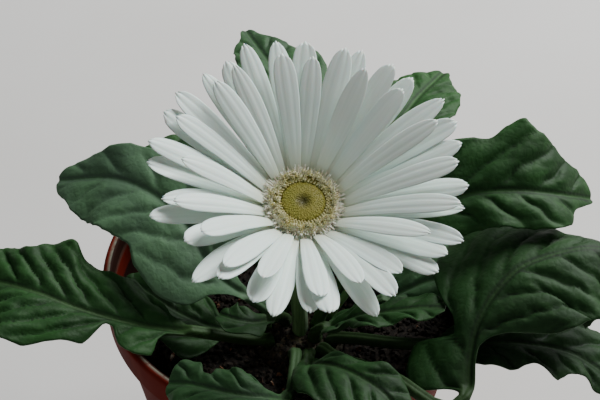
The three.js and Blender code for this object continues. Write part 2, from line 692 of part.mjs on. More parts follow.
function makeInvolucre() {
  const random = seededRandom(9);
  const { radius, top, depth, neck } = receptacle;
  const cup = turned([[0, -depth], [neck, -depth], [radius * 0.52, -depth + 2.4],
    [radius * 0.86, -depth + 6.4], [radius, top - 1.4], [radius, top], [0, top]], 20);
  const pieces = [cup];
  const rows = [{ root: 10.4, level: -6.2, offset: 0 }, { root: 7.4, level: -9.8, offset: 0.5 }];
  for (const row of rows) {
    for (let i = 0; i < bracts.perRow; i++) {
      pieces.push(strap({
        azimuth: (360 * (i + row.offset + 0.2 * (random() - 0.5))) / bracts.perRow,
        root: row.root,
        level: row.level,
        length: bracts.length * (0.9 + 0.15 * random()),
        rise: bracts.rise,
        width: bracts.width,
        thickness: bracts.thickness,
        stations: [[0, 1], [0.55, 0.85], [1, 0.22]],
      }));
    }
  }
  return toGeometry(fuse(pieces));
}

// ---- assembly ----
const looks = {
  pot: material(0xa84a38, 0.6),
  soil: material(0x2b211a, 0.95),
  crown: material(0x5c6b45, 0.8),
  leaf: material(0x3f6b3c, 0.6),
  scape: material(0x7f9a62, 0.6),
  involucre: material(0x53773f, 0.7),
  ray: material(0xf2f3ef, 0.55),
  trans: material(0xf3efd8, 0.6),
  floret: material(0xd9cf7e, 0.65),
  bud: material(0x8d8a34, 0.7),
};

const plant = new THREE.Group();
plant.add(named('pot', makePot(), looks.pot));
plant.add(named('soil', makeSoil(), looks.soil));

let rootstock = rootstockSolid(0).subtract(stemSocket(scapeCurve(), scape.radius * 1.1));
for (const leaf of leaves) {
  rootstock = rootstock.subtract(stemSocket(leafCurve(leaf), petiole.radius));
  plant.add(named(leaf.name, toGeometry(toSolid(loft(leafRings(leaf)))), looks.leaf));
}
plant.add(named('rootstock', toGeometry(rootstock), looks.crown));
plant.add(named('scape', toGeometry(toSolid(makeScape())), looks.scape));

const bloom = new THREE.Group();
const { centre, up } = bloomFrame();
bloom.position.copy(centre);
bloom.quaternion.setFromUnitVectors(upright, up);
bloom.add(named('involucre', makeInvolucre(), looks.involucre));
bloom.add(named('ray_florets', makeRayFlorets(), looks.ray));
bloom.add(named('trans_florets', makeTransFlorets(), looks.trans));
bloom.add(named('disc_florets', makeDiscFlorets(), looks.floret));
bloom.add(named('disc_buds', makeDiscBuds(), looks.bud));
plant.add(bloom);

export default plant;
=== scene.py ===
import math

import bmesh
import bpy
import numpy as np
from mathutils import Matrix, Vector


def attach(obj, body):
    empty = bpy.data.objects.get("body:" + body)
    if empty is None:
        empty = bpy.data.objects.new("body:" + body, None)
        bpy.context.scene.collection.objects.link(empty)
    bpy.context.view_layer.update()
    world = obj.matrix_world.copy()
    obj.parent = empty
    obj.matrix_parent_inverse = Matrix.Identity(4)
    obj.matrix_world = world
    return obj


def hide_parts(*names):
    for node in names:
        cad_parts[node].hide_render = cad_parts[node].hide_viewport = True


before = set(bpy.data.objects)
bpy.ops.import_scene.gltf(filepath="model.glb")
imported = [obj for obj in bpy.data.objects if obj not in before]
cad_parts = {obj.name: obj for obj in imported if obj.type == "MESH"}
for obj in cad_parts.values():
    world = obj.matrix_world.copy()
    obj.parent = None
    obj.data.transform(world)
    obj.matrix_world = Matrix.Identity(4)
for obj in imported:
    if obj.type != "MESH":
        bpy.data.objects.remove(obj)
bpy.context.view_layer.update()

# A white gerbera growing in a round grower's pot, with +Z up. Sizes are in millimetres; mm makes them metres.
mm = 0.001


# small tools
def say(stage):
    print("gerbera:", stage)


def mix(a, b, share):
    return a + (b - a) * share


def smoothStep(low, high, value):
    share = np.clip((value - low) / (high - low), 0, 1)
    return share * share * (3 - 2 * share)


def bell(value, width):  # 1 at 0, and falling away on both sides
    return np.exp(-(value / width) ** 2)


def seededRandom(seed):
    state = seed

    def draw():
        nonlocal state
        state = (state + 0x6D2B79F5) & 0xFFFFFFFF
        mixed = ((state ^ (state >> 15)) * (1 | state)) & 0xFFFFFFFF
        mixed = ((mixed + (((mixed ^ (mixed >> 7)) * (61 | mixed)) & 0xFFFFFFFF)) & 0xFFFFFFFF) ^ mixed
        return (mixed ^ (mixed >> 14)) / 4294967296

    return draw


# materials
def hexColor(code):
    channels = [int(code[i:i + 2], 16) / 255 for i in (1, 3, 5)]
    linear = [c / 12.92 if c <= 0.04045 else ((c + 0.055) / 1.055) ** 2.4 for c in channels]
    return (*linear, 1.0)


def firstOutput(node):
    return next(socket for socket in node.outputs if socket.enabled)


def addNode(tree, kind, inputs=None, **settings):
    node = tree.nodes.new(kind)
    for name, value in settings.items():
        setattr(node, name, value)
    for key, value in (inputs or {}).items():
        if isinstance(key, int):
            socket = node.inputs[key]
        else:
            socket = next(s for s in node.inputs if s.enabled and s.name == key)
        if isinstance(value, bpy.types.Node):
            value = firstOutput(value)
        if isinstance(value, bpy.types.NodeSocket):
            tree.links.new(value, socket)
        else:
            socket.default_value = value
    return node


def newMaterial(name, **shaderValues):
    made = bpy.data.materials.new(name)
    made.use_nodes = True
    tree = made.node_tree
    tree.nodes.clear()
    shader = addNode(tree, "ShaderNodeBsdfPrincipled")
    for label, value in shaderValues.items():
        shader.inputs[label.replace("_", " ")].default_value = value
    addNode(tree, "ShaderNodeOutputMaterial", {"Surface": shader})
    return made, tree, shader


def grain(tree, size, detail=3.0, stretch=(1, 1, 1)):  # noise whose lumps are about this large
    place = addNode(tree, "ShaderNodeTexCoord")
    scaled = addNode(tree, "ShaderNodeMapping", {"Vector": place.outputs["Object"], "Scale": stretch})
    return addNode(tree, "ShaderNodeTexNoise", {"Vector": scaled, "Scale": 1 / (size * mm), "Detail": detail})


# A mask is a pattern or the name of a mesh attribute, the value where it starts, the value where it is
# full, and how much full is, if that isn't 1. Several masks leave what they share.
def overlap(tree, *masks):
    whole = None
    for pattern, start, full, *most in masks:
        if isinstance(pattern, str):
            pattern = addNode(tree, "ShaderNodeAttribute", attribute_name=pattern).outputs["Fac"]
        part = addNode(tree, "ShaderNodeMapRange", {
            "Value": pattern, "From Min": start, "From Max": full, "To Max": most[0] if most else 1.0})
        if whole is None:
            whole = part
        else:
            whole = addNode(tree, "ShaderNodeMath", {0: whole, 1: part}, operation="MULTIPLY")
    return whole


def layered(tree, color, *coats):  # a colour, then coats of a colour and its masks
    tone = hexColor(color)
    for over, *masks in coats:
        tone = addNode(tree, "ShaderNodeMix", {
            "Factor": overlap(tree, *masks), "A": tone, "B": hexColor(over)}, data_type="RGBA")
    return tone


def dress(tree, shader, tone, *bumps):  # a bump is a pattern, its depth and its strength
    tree.links.new(firstOutput(tone), shader.inputs["Base Color"])
    normal = None
    for pattern, depth, strength in bumps:
        inputs = {"Height": pattern, "Distance": depth * mm, "Strength": strength}
        if normal:
            inputs["Normal"] = normal
        normal = addNode(tree, "ShaderNodeBump", inputs)
    if normal:
        tree.links.new(firstOutput(normal), shader.inputs["Normal"])


# meshes
def rawMesh(name, points, faces=()):
    mesh = bpy.data.meshes.new(name)
    mesh.from_pydata(np.asarray(points, float).reshape(-1, 3).tolist(), [], faces)
    return mesh


def setAttribute(mesh, label, kind, values):
    layer = mesh.attributes.new(label, kind, "POINT")
    flat = np.asarray(values, np.int32 if kind == "INT" else np.float32).ravel()
    layer.data.foreach_set("vector" if kind == "FLOAT_VECTOR" else "value", flat)


def buildMesh(name, points, faces, attributes=None):
    mesh = rawMesh(name, points, faces)
    for label, values in (attributes or {}).items():
        setAttribute(mesh, label, "FLOAT", values)
    mesh.update()
    mesh.shade_smooth()
    return faceOutward(mesh)


def faceOutward(mesh):
    mesh.calc_loop_triangles()
    corners = np.empty(len(mesh.loop_triangles) * 3, np.int32)
    mesh.loop_triangles.foreach_get("vertices", corners)
    places = np.empty(len(mesh.vertices) * 3)
    mesh.vertices.foreach_get("co", places)
    triangle = places.reshape(-1, 3)[corners.reshape(-1, 3)]
    volume = np.einsum("ij,ij->i", triangle[:, 0], np.cross(triangle[:, 1], triangle[:, 2])).sum()
    if volume < 0:
        mesh.flip_normals()
    return mesh


def fullTurn(count):
    return np.arange(count) * 2 * math.pi / count


def circle(radius, height, turn):  # points round +Z at these angles
    return np.stack([radius * np.cos(turn), radius * np.sin(turn), height + 0 * turn], 1)


def sideFaces(rows, count):  # the faces between rows of equally many points
    faces = []
    for row in range(rows - 1):
        for i in range(count):
            here, beside = row * count + i, row * count + (i + 1) % count
            faces.append((here, beside, beside + count, here + count))
    return faces


def ringFaces(rows, count, flatEnds=False):  # a closed body through such rows
    faces = sideFaces(rows, count)
    last = (rows - 1) * count
    for ring in (range(count)[::-1], range(last, last + count)):
        if flatEnds:
            faces.append(tuple(ring))
        else:
            faces += [(ring[i], ring[i + 1], ring[-2 - i], ring[-1 - i]) for i in range(count // 2 - 1)]
    return faces


def turnedMesh(name, profile, segments=64):  # a body turned about +Z from (radius, height) points
    turn = fullTurn(segments)
    rows = [circle(radius * mm, height * mm, turn) for radius, height in profile]
    mesh = rawMesh(name, np.concatenate(rows), sideFaces(len(rows), segments))
    work = bmesh.new()
    work.from_mesh(mesh)
    bmesh.ops.remove_doubles(work, verts=work.verts, dist=1e-6)
    bmesh.ops.dissolve_degenerate(work, edges=work.edges, dist=1e-7)
    bmesh.ops.recalc_face_normals(work, faces=work.faces)
    work.to_mesh(mesh)
    work.free()
    mesh.shade_smooth()
    return faceOutward(mesh)


def meshFrom(work, name):
    mesh = bpy.data.meshes.new(name)
    work.to_mesh(mesh)
    work.free()
    return mesh


def joined(name, meshes):
    work = bmesh.new()
    for mesh in meshes:
        work.from_mesh(mesh)
    whole = meshFrom(work, name)
    for mesh in meshes:
        bpy.data.meshes.remove(mesh)
    return whole


def addObject(name, data):
    thing = bpy.data.objects.new(name, data)
    bpy.context.scene.collection.objects.link(thing)
    return thing


def plainMesh(carrier):  # what the object's modifiers make of it, as a mesh of its own
    depsgraph = bpy.context.evaluated_depsgraph_get()
    mesh = bpy.data.meshes.new_from_object(carrier.evaluated_get(depsgraph))
    carrier.modifiers.clear()
    bpy.data.objects.remove(carrier)
    return mesh


def finishPiece(name, mesh, material, nodes=()):
    mesh.materials.clear()
    mesh.materials.append(material)
    piece = addObject(name, mesh)
    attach(piece, "root")
    if nodes:
        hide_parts(*nodes)
    return piece


def smoothRun(controls, perSpan=40):  # a Catmull-Rom line with its shares of length
    points = np.asarray(controls, float)
    points = np.vstack([2 * points[0] - points[1], points, 2 * points[-1] - points[-2]])
    t = np.linspace(0, 1, perSpan, endpoint=False)[:, None]
    spans = []
    for i in range(1, len(points) - 2):
        start, end = points[i], points[i + 1]
        leave, arrive = (end - points[i - 1]) / 2, (points[i + 2] - start) / 2
        spans.append(start * (2 * t ** 3 - 3 * t ** 2 + 1) + leave * (t ** 3 - 2 * t ** 2 + t)
                     + end * (3 * t ** 2 - 2 * t ** 3) + arrive * (t ** 3 - t ** 2))
    line = np.vstack([*spans, points[-2:-1]])
    steps = np.linalg.norm(np.diff(line, axis=0), axis=1)
    shares = np.concatenate([[0], np.cumsum(steps)])
    return line, shares / shares[-1], shares[-1]


def alongRun(run, at, step=0.004):  # points and directions at shares of the length
    line, shares = run[:2]
    points, ahead, behind = [
        np.stack([np.interp(where, shares, line[:, k]) for k in range(3)], 1)
        for where in (at, np.minimum(at + step, 1), np.maximum(at - step, 0))]
    direction = ahead - behind
    return points, direction / np.linalg.norm(direction, axis=1, keepdims=True)


def ringsRound(centre, side, up, radius, turn):  # a ring of points in the plane of side and up at each centre
    return (centre[:, None] + side[:, None] * (radius * np.cos(turn))[..., None]
            + up[:, None] * (radius * np.sin(turn))[..., None])


# Geometry Nodes
def newTree(name, **inputs):  # the kind of each named input
    tree = bpy.data.node_groups.new(name, "GeometryNodeTree")
    for label, kind in {"Geometry": "Geometry", **inputs}.items():
        tree.interface.new_socket(label, in_out="INPUT", socket_type="NodeSocket" + kind)
    tree.interface.new_socket("Geometry", in_out="OUTPUT", socket_type="NodeSocketGeometry")
    return tree, tree.nodes.new("NodeGroupInput").outputs


def swaying(tree, most, seed):  # a seeded turn of at most this much, either way, about each axis
    least = addNode(tree, "ShaderNodeMath", {0: most, 1: -1.0}, operation="MULTIPLY")
    return addNode(tree, "FunctionNodeRandomValue", {"Min": least, "Max": most, "Seed": seed},
                   data_type="FLOAT_VECTOR")


def closeTree(tree, given, placing):  # puts the pieces on the points and makes them real
    pieces = addNode(tree, "GeometryNodeCollectionInfo", {
        "Collection": given["Pieces"], "Separate Children": True, "Reset Children": True})
    placed = addNode(tree, "GeometryNodeInstanceOnPoints", {
        "Instance": pieces, "Pick Instance": True, **placing})
    real = addNode(tree, "GeometryNodeRealizeInstances", {"Geometry": placed})
    finish = addNode(tree, "GeometryNodeSetMaterial", {"Geometry": real, "Material": given["Material"]})
    addNode(tree, "NodeGroupOutput", {"Geometry": finish})
    return tree


def placingTree():  # one of the pieces on each point, turned and sized by the point's own attributes
    tree, given = newTree("placeOnPoints", Pieces="Collection", Size="Float", Unsteadiness="Float",
                          Seed="Int", Material="Material")
    turn, size, kind = [
        addNode(tree, "GeometryNodeInputNamedAttribute", {"Name": name}, data_type=data)
        for name, data in (("turn", "FLOAT_VECTOR"), ("size", "FLOAT_VECTOR"), ("kind", "INT"))]
    sway = swaying(tree, given["Unsteadiness"], given["Seed"])
    turned = addNode(tree, "ShaderNodeVectorMath", {0: turn, 1: sway}, operation="ADD")
    sized = addNode(tree, "ShaderNodeVectorMath", {0: size, "Scale": given["Size"]}, operation="SCALE")
    return closeTree(tree, given, {
        "Points": given["Geometry"], "Instance Index": kind, "Rotation": turned, "Scale": sized})


def scatterTree():  # pieces strewn over the faces, upright on them or tumbled
    tree, given = newTree("strewOnFaces", Pieces="Collection", Density="Float", Smallest="Float",
                          Largest="Float", Tumble="Float", Seed="Int", Material="Material")
    points = addNode(tree, "GeometryNodeDistributePointsOnFaces", {
        "Mesh": given["Geometry"], "Density": given["Density"], "Seed": given["Seed"]})
    turned = addNode(tree, "FunctionNodeRotateRotation", {
        "Rotation": points.outputs["Rotation"],
        "Rotate By": swaying(tree, given["Tumble"], given["Seed"])}, rotation_space="LOCAL")
    size = addNode(tree, "FunctionNodeRandomValue", {
        "Min": given["Smallest"], "Max": given["Largest"], "Seed": given["Seed"]}, data_type="FLOAT")
    return closeTree(tree, given, {
        "Points": points.outputs["Points"], "Rotation": turned, "Scale": size})


def grown(name, base, tree, values, kinds):  # what the tree makes on the base mesh, as a plain mesh
    shelf = bpy.data.collections.new(name + "Kinds")
    samples = [bpy.data.objects.new(f"{name}Kind{i:02d}", mesh) for i, mesh in enumerate(kinds)]
    for sample in samples:
        shelf.objects.link(sample)
    carrier = addObject(name + "Carrier", base)
    modifier = carrier.modifiers.new(name, "NODES")
    modifier.node_group = tree
    values = {"Pieces": shelf, **values}
    for item in tree.interface.items_tree:
        if item.item_type == "SOCKET" and item.in_out == "INPUT" and item.name in values:
            modifier[item.identifier] = values[item.name]
    mesh = plainMesh(carrier)
    for sample in samples:
        bpy.data.objects.remove(sample)
    bpy.data.collections.remove(shelf)
    mesh.name = name
    return mesh


def pointAt(out, turn, height, leaning, size, kind=0):  # where a piece goes, how it leans, its size and kind
    return {"place": (out * mm * math.cos(turn), out * mm * math.sin(turn), height * mm), "turn": leaning,
            "size": size, "kind": kind}


def placed(name, points, material, sway, kinds):  # sway: how far pieces lean astray (radians), and its seed
    cloud = rawMesh(name + "Points", [p["place"] for p in points])
    for label, kind in (("turn", "FLOAT_VECTOR"), ("size", "FLOAT_VECTOR"), ("kind", "INT")):
        setAttribute(cloud, label, kind, [p[label] for p in points])
    return grown(name, cloud, placeOnPoints, {
        "Size": 1.0, "Unsteadiness": sway[0], "Seed": sway[1], "Material": material}, kinds)


def strewn(name, ground, material, how, kinds):  # how: the dictionary that says how densely and how large
    return grown(name, ground, strewOnFaces, {
        "Density": float(how["perSquareMetre"]), "Smallest": how["size"][0], "Largest": how["size"][1],
        "Tumble": how["tumble"], "Seed": how["seed"], "Material": material}, kinds)


placeOnPoints = placingTree()
strewOnFaces = scatterTree()


# pot: moulded polypropylene in a brick red, dull with dust, so it throws back hardly any light; its scuffs
# are paler. A mottled pale grey is painted on the inner edge of its lip and the top of the inner wall: a lime
# crust, and with it a painted reflection of the sky on the lip's top. The inner wall is painted near black:
# earth dried on it, and with it painted shade inside the pot.
pot = {
    "height": 115, "footRadius": 45, "shoulderRadius": 60.5, "rimRadius": 65, "bandHeight": 14,
    "lipWidth": 3.6, "wall": 2, "floor": 2.6, "holes": 6, "holeRadius": 4, "holeRing": 31,
    "drillReach": 9, "segments": 160, "color": "#6C1D10", "deepColor": "#571308", "scuffColor": "#7C3424",
    "limeAndReflectionColor": "#7C7E70", "earthAndShadeColor": "#2A1610",
}


def potMaterial():
    made, tree, shader = newMaterial("polypropyleneMouldedTerracotta", Roughness=0.75, IOR=1.49,
                                     Specular_IOR_Level=0.1)
    place = addNode(tree, "ShaderNodeTexCoord")
    split = addNode(tree, "ShaderNodeSeparateXYZ", {"Vector": place.outputs["Object"]})
    level = addNode(tree, "ShaderNodeCombineXYZ", {"X": split.outputs["X"], "Y": split.outputs["Y"]})
    out = addNode(tree, "ShaderNodeVectorMath", {0: level}, operation="LENGTH").outputs["Value"]
    height = split.outputs["Z"]
    taper = (pot["shoulderRadius"] - pot["footRadius"]) / (pot["height"] - pot["bandHeight"])
    outside = addNode(tree, "ShaderNodeMath", {0: height, 1: taper, 2: pot["footRadius"] * mm},
                      operation="MULTIPLY_ADD")
    inset = addNode(tree, "ShaderNodeMath", {0: outside, 1: out}, operation="SUBTRACT")
    blotches = grain(tree, 22)
    specks = grain(tree, 1.6, 4.0)
    scuffs = grain(tree, 5, 6.0, (1, 1, 0.25))
    lipEdge, top = pot["rimRadius"] - 1.6, pot["height"]
    tone = layered(
        tree, pot["deepColor"], (pot["color"], (blotches, 0.3, 0.7)),
        (pot["scuffColor"], (scuffs, 0.58, 0.74, 0.3)),
        # lime crust and painted sky reflection: pale grey on the inner edge of the lip's top and the top of
        # the inner wall
        (pot["limeAndReflectionColor"], (out, lipEdge * mm, (lipEdge - 1) * mm), (height, (top - 9) * mm, (top - 3) * mm),
         (blotches, 0.25, 0.5), (specks, 0.2, 0.5)),
        # dried earth and painted shade: near black on every surface inside the line of the outer wall, i.e.
        # the inner wall, the floor and the underside
        (pot["earthAndShadeColor"], (inset, 0.25 * mm, 0.6 * mm)))
    dress(tree, shader, tone, (specks, 0.05, 0.5))
    return made


def innerRadius(z):
    share = z / (pot["height"] - pot["bandHeight"])
    return mix(pot["footRadius"], pot["shoulderRadius"], share) - pot["wall"]


def potMesh():
    top, rim, foot, shoulder = pot["height"], pot["rimRadius"], pot["footRadius"], pot["shoulderRadius"]
    bandFoot = top - pot["bandHeight"]
    inside = rim - pot["lipWidth"]
    carrier = addObject("potCarrier", turnedMesh("potWall", [
        (0, 0), (foot - 4, 0), (foot - 1.5, 0.1), (foot - 0.4, 0.7), (foot, 1.7),
        (shoulder - 0.2, bandFoot - 1.4), (shoulder + 0.4, bandFoot - 0.6),
        (rim - 2.2, bandFoot - 0.1), (rim - 1.5, bandFoot + 0.5), (rim - 1.2, bandFoot + 1.6),
        (rim - 0.5, top - 2.2), (rim - 0.45, top - 1.1), (rim - 0.8, top - 0.3), (rim - 1.5, top),
        (inside + 1, top), (inside + 0.2, top - 0.4), (inside, top - 1.2),
        (inside - 0.5, bandFoot + 1), (innerRadius(bandFoot - 3), bandFoot - 3),
        (innerRadius(pot["floor"]), pot["floor"]), (0, pot["floor"])], pot["segments"]))
    drills = []
    radius, reach = pot["holeRadius"], pot["drillReach"]
    for i in range(pot["holes"]):
        turn = 2 * math.pi * (i + 0.5) / pot["holes"]
        drill = turnedMesh("drill", [(0, -reach), (radius, -reach), (radius, reach), (0, reach)], 40)
        drill.transform(Matrix.Translation(
            (pot["holeRing"] * mm * math.cos(turn), pot["holeRing"] * mm * math.sin(turn), 0)))
        drills.append(drill)
    cutter = addObject("potDrills", joined("potDrills", drills))
    cut = carrier.modifiers.new("drain holes", "BOOLEAN")
    cut.object = cutter
    cut.operation = "DIFFERENCE"
    cut.solver = "EXACT"
    mesh = plainMesh(carrier)
    bpy.data.objects.remove(cutter)
    mesh.set_sharp_from_angle(angle=math.radians(50))
    return mesh


finishPiece("growersPot", potMesh(), potMaterial(), ["pot"])
say("pot turned and drilled")


# soil: damp peat, matt and crumbly, almost black with a few browner crumbs; the dry chips of bark on it are
# brown with grey torn sides, so they catch the light
soil = {
    "top": 96, "relief": 1.1, "edgeRadius": 47, "edgeDip": 2.2, "wallGap": 0.35, "gap": 0.3,
    "segments": 132, "rows": 64, "dampColor": "#12100D", "color": "#221D18", "crumbColor": "#3D332A",
    "crumbs": {"perSquareMetre": 240000, "size": (0.5, 1.7), "tumble": 3.0, "seed": 4, "kinds": 4,
               "shapeSeed": 21, "shape": (1, 1, 1)},
    "bark": {"perSquareMetre": 16000, "size": (0.6, 1.9), "tumble": 3.0, "seed": 5, "kinds": 3,
             "shapeSeed": 22, "shape": (1.7, 0.8, 0.5)},
    "barkDarkColor": "#3B2619", "barkColor": "#7A5339", "barkPaleColor": "#A39A86",
}
crown = {
    "x": 3.5, "y": -16, "radius": 15.5, "top": 101, "bottom": 72, "outerRing": 10.8, "innerRing": 5.6,
    "crumbs": {"perSquareMetre": 420000, "size": (0.4, 1.2), "tumble": 3.0, "seed": 12, "kinds": 4,
               "shapeSeed": 23, "shape": (1, 1, 1)},
}


def soilMaterial():
    made, tree, shader = newMaterial("peatDampCrumbly", Roughness=0.92, IOR=1.45, Specular_IOR_Level=0.25)
    crumbs = grain(tree, 1.3, 4.0)
    tone = layered(tree, soil["dampColor"], (soil["color"], (grain(tree, 9), 0.35, 0.65)),
                   (soil["crumbColor"], (crumbs, 0.52, 0.75)))
    dress(tree, shader, tone, (crumbs, 0.5, 0.8))
    return made


def barkMaterial():
    made, tree, shader = newMaterial("barkChippedDry", Roughness=0.85, IOR=1.45)
    chips = grain(tree, 3.2, 1.0)
    dress(tree, shader, layered(tree, soil["barkDarkColor"], (soil["barkColor"], (chips, 0.4, 0.6)),
                                (soil["barkPaleColor"], (chips, 0.66, 0.7))))
    return made


def soilHeight(x, y):
    lumps = np.sin(x * 0.31 + 1.3) * np.cos(y * 0.27 - 0.4) + 0.6 * np.sin(x * 0.17 - y * 0.38)
    fine = np.sin(x * 1.7 + 2 * np.sin(y * 0.9)) * np.sin(y * 1.5 + 2 * np.sin(x * 1.1))
    edge = smoothStep(soil["edgeRadius"], 58, np.hypot(x, y))
    return soil["top"] + soil["relief"] * (lumps * 0.6 + 0.35 * fine) - soil["edgeDip"] * edge


def soilTopRings():  # from the crown out to the pot's wall
    turn = fullTurn(soil["segments"])
    outer = innerRadius(soil["top"] - 3) - soil["wallGap"]
    rings = []
    for share in np.linspace(0, 1, soil["rows"]):
        radius = mix(crown["radius"] + soil["gap"], outer, share)
        x = mix(crown["x"], 0, share) + radius * np.cos(turn)
        y = mix(crown["y"], 0, share) + radius * np.sin(turn)
        rings.append(np.stack([x, y, soilHeight(x, y)], 1))
    return rings


def soilMesh():
    top = soilTopRings()
    well = top[0] * (1, 1, 0) + (0, 0, crown["bottom"] - 1)
    foot = pot["floor"] + soil["gap"]
    bottom = circle(innerRadius(foot) - soil["wallGap"], foot, fullTurn(soil["segments"]))
    rings = np.array([well, *top, bottom])
    return buildMesh("soilBody", rings * mm, ringFaces(len(rings), soil["segments"], flatEnds=True))


def soilTopMesh():
    rings = np.array(soilTopRings()[1:-1])
    ground = rawMesh("soilTop", rings * mm, sideFaces(*rings.shape[:2]))
    if ground.polygons[0].normal.z < 0:
        ground.flip_normals()
    return ground


def strewnLumps(name, ground, material, how):  # lumps of a few rough shapes
    draw = seededRandom(how["shapeSeed"])
    kinds = []
    for i in range(how["kinds"]):
        work = bmesh.new()
        bmesh.ops.create_icosphere(work, subdivisions=1, radius=mm)
        for vert in work.verts:
            vert.co = Vector([c * s for c, s in zip(vert.co * (0.65 + 0.6 * draw()), how["shape"])])
        kinds.append(meshFrom(work, "lump"))
    finishPiece(name, strewn(name, ground, material, how, kinds), material)


peat = soilMaterial()
bark = barkMaterial()
finishPiece("pottingSoil", soilMesh(), peat, ["soil"])
strewnLumps("soilCrumbs", soilTopMesh(), peat, soil["crumbs"])
strewnLumps("soilBark", soilTopMesh(), bark, soil["bark"])
say("soil laid and strewn with crumbs and bark")


# leaves: leathery blades, dark green and dull with down, puffed up between sunken side veins, with a paler
# midrib and underside; the creases along the veins and beside the midrib are painted darker, as painted shade
leafLook = {
    "rows": 130, "columns": 45, "stalkRows": 18, "veinSweep": 0.9, "puff": 1.8,
    "crossSpacing": 9, "crossPuff": 0.4, "crumple": 0.16, "grooveDepth": 1.2, "toothDepth": 0.45,
    "toothSpacing": 6.5, "edgeThickness": 0.35, "thickness": 0.8, "midrib": 1.5,
    "dark": "#1A3C17", "green": "#295424", "light": "#3B6833", "crease": "#0F2110", "rib": "#6E8B5C",
    "stalk": "#2C4A20", "under": "#52724A", "downAndSheen": "#6F8A75", "sheen": "#DDE8D2",
}
# by leaf: how far apart its side veins stand (mm), how pale its midrib is, how far it's puffed, and how
# light it is: above 1 lighter and greyed, for a young leaf's down and for a painted sheen of light on it;
# below 1 darker, for an old leaf's deeper green and for painted shade on it
leafTraits = {
    1: (15, 0, 0.55, 1.65), 2: (9, 0.3, 1, 0.8), 3: (9, 0.1, 1, 0.65), 4: (11, 0.12, 1, 0.5),
    5: (10, 0.1, 1, 1.2), 6: (9, 0.1, 1, 0.6), 7: (8, 0.1, 1, 0.65), 8: (13, 0.12, 0.85, 0.6),
    9: (13, 0.1, 0.85, 0.85), 10: (11, 0.12, 1, 0.5), 11: (11, 0.12, 1, 1.3), 15: (11, 0.12, 1, 1.3),
}
usualTraits = (11, 0.12, 1, 1)
petiole = {"radius": 2.2, "neckRadius": 2, "sunk": 90}


def lobedEdges(half, lobes, phase):  # a plain lobed outline: share, half width left, half width right
    rows = []
    for share in (0, 0.06, 0.13, 0.2, 0.3, 0.42, 0.54, 0.66, 0.78, 0.9, 1):
        body = half * math.sqrt(max(0, math.sin(math.pi * share ** 0.95)))
        beats = [0.5 - 0.5 * math.cos(2 * math.pi * (lobes * share + turn)) for turn in (phase, phase + 0.35)]
        rows.append((share, *[max(2, body * (1 - mix(0.22, 0.06, share) * beat)) for beat in beats]))
    return rows


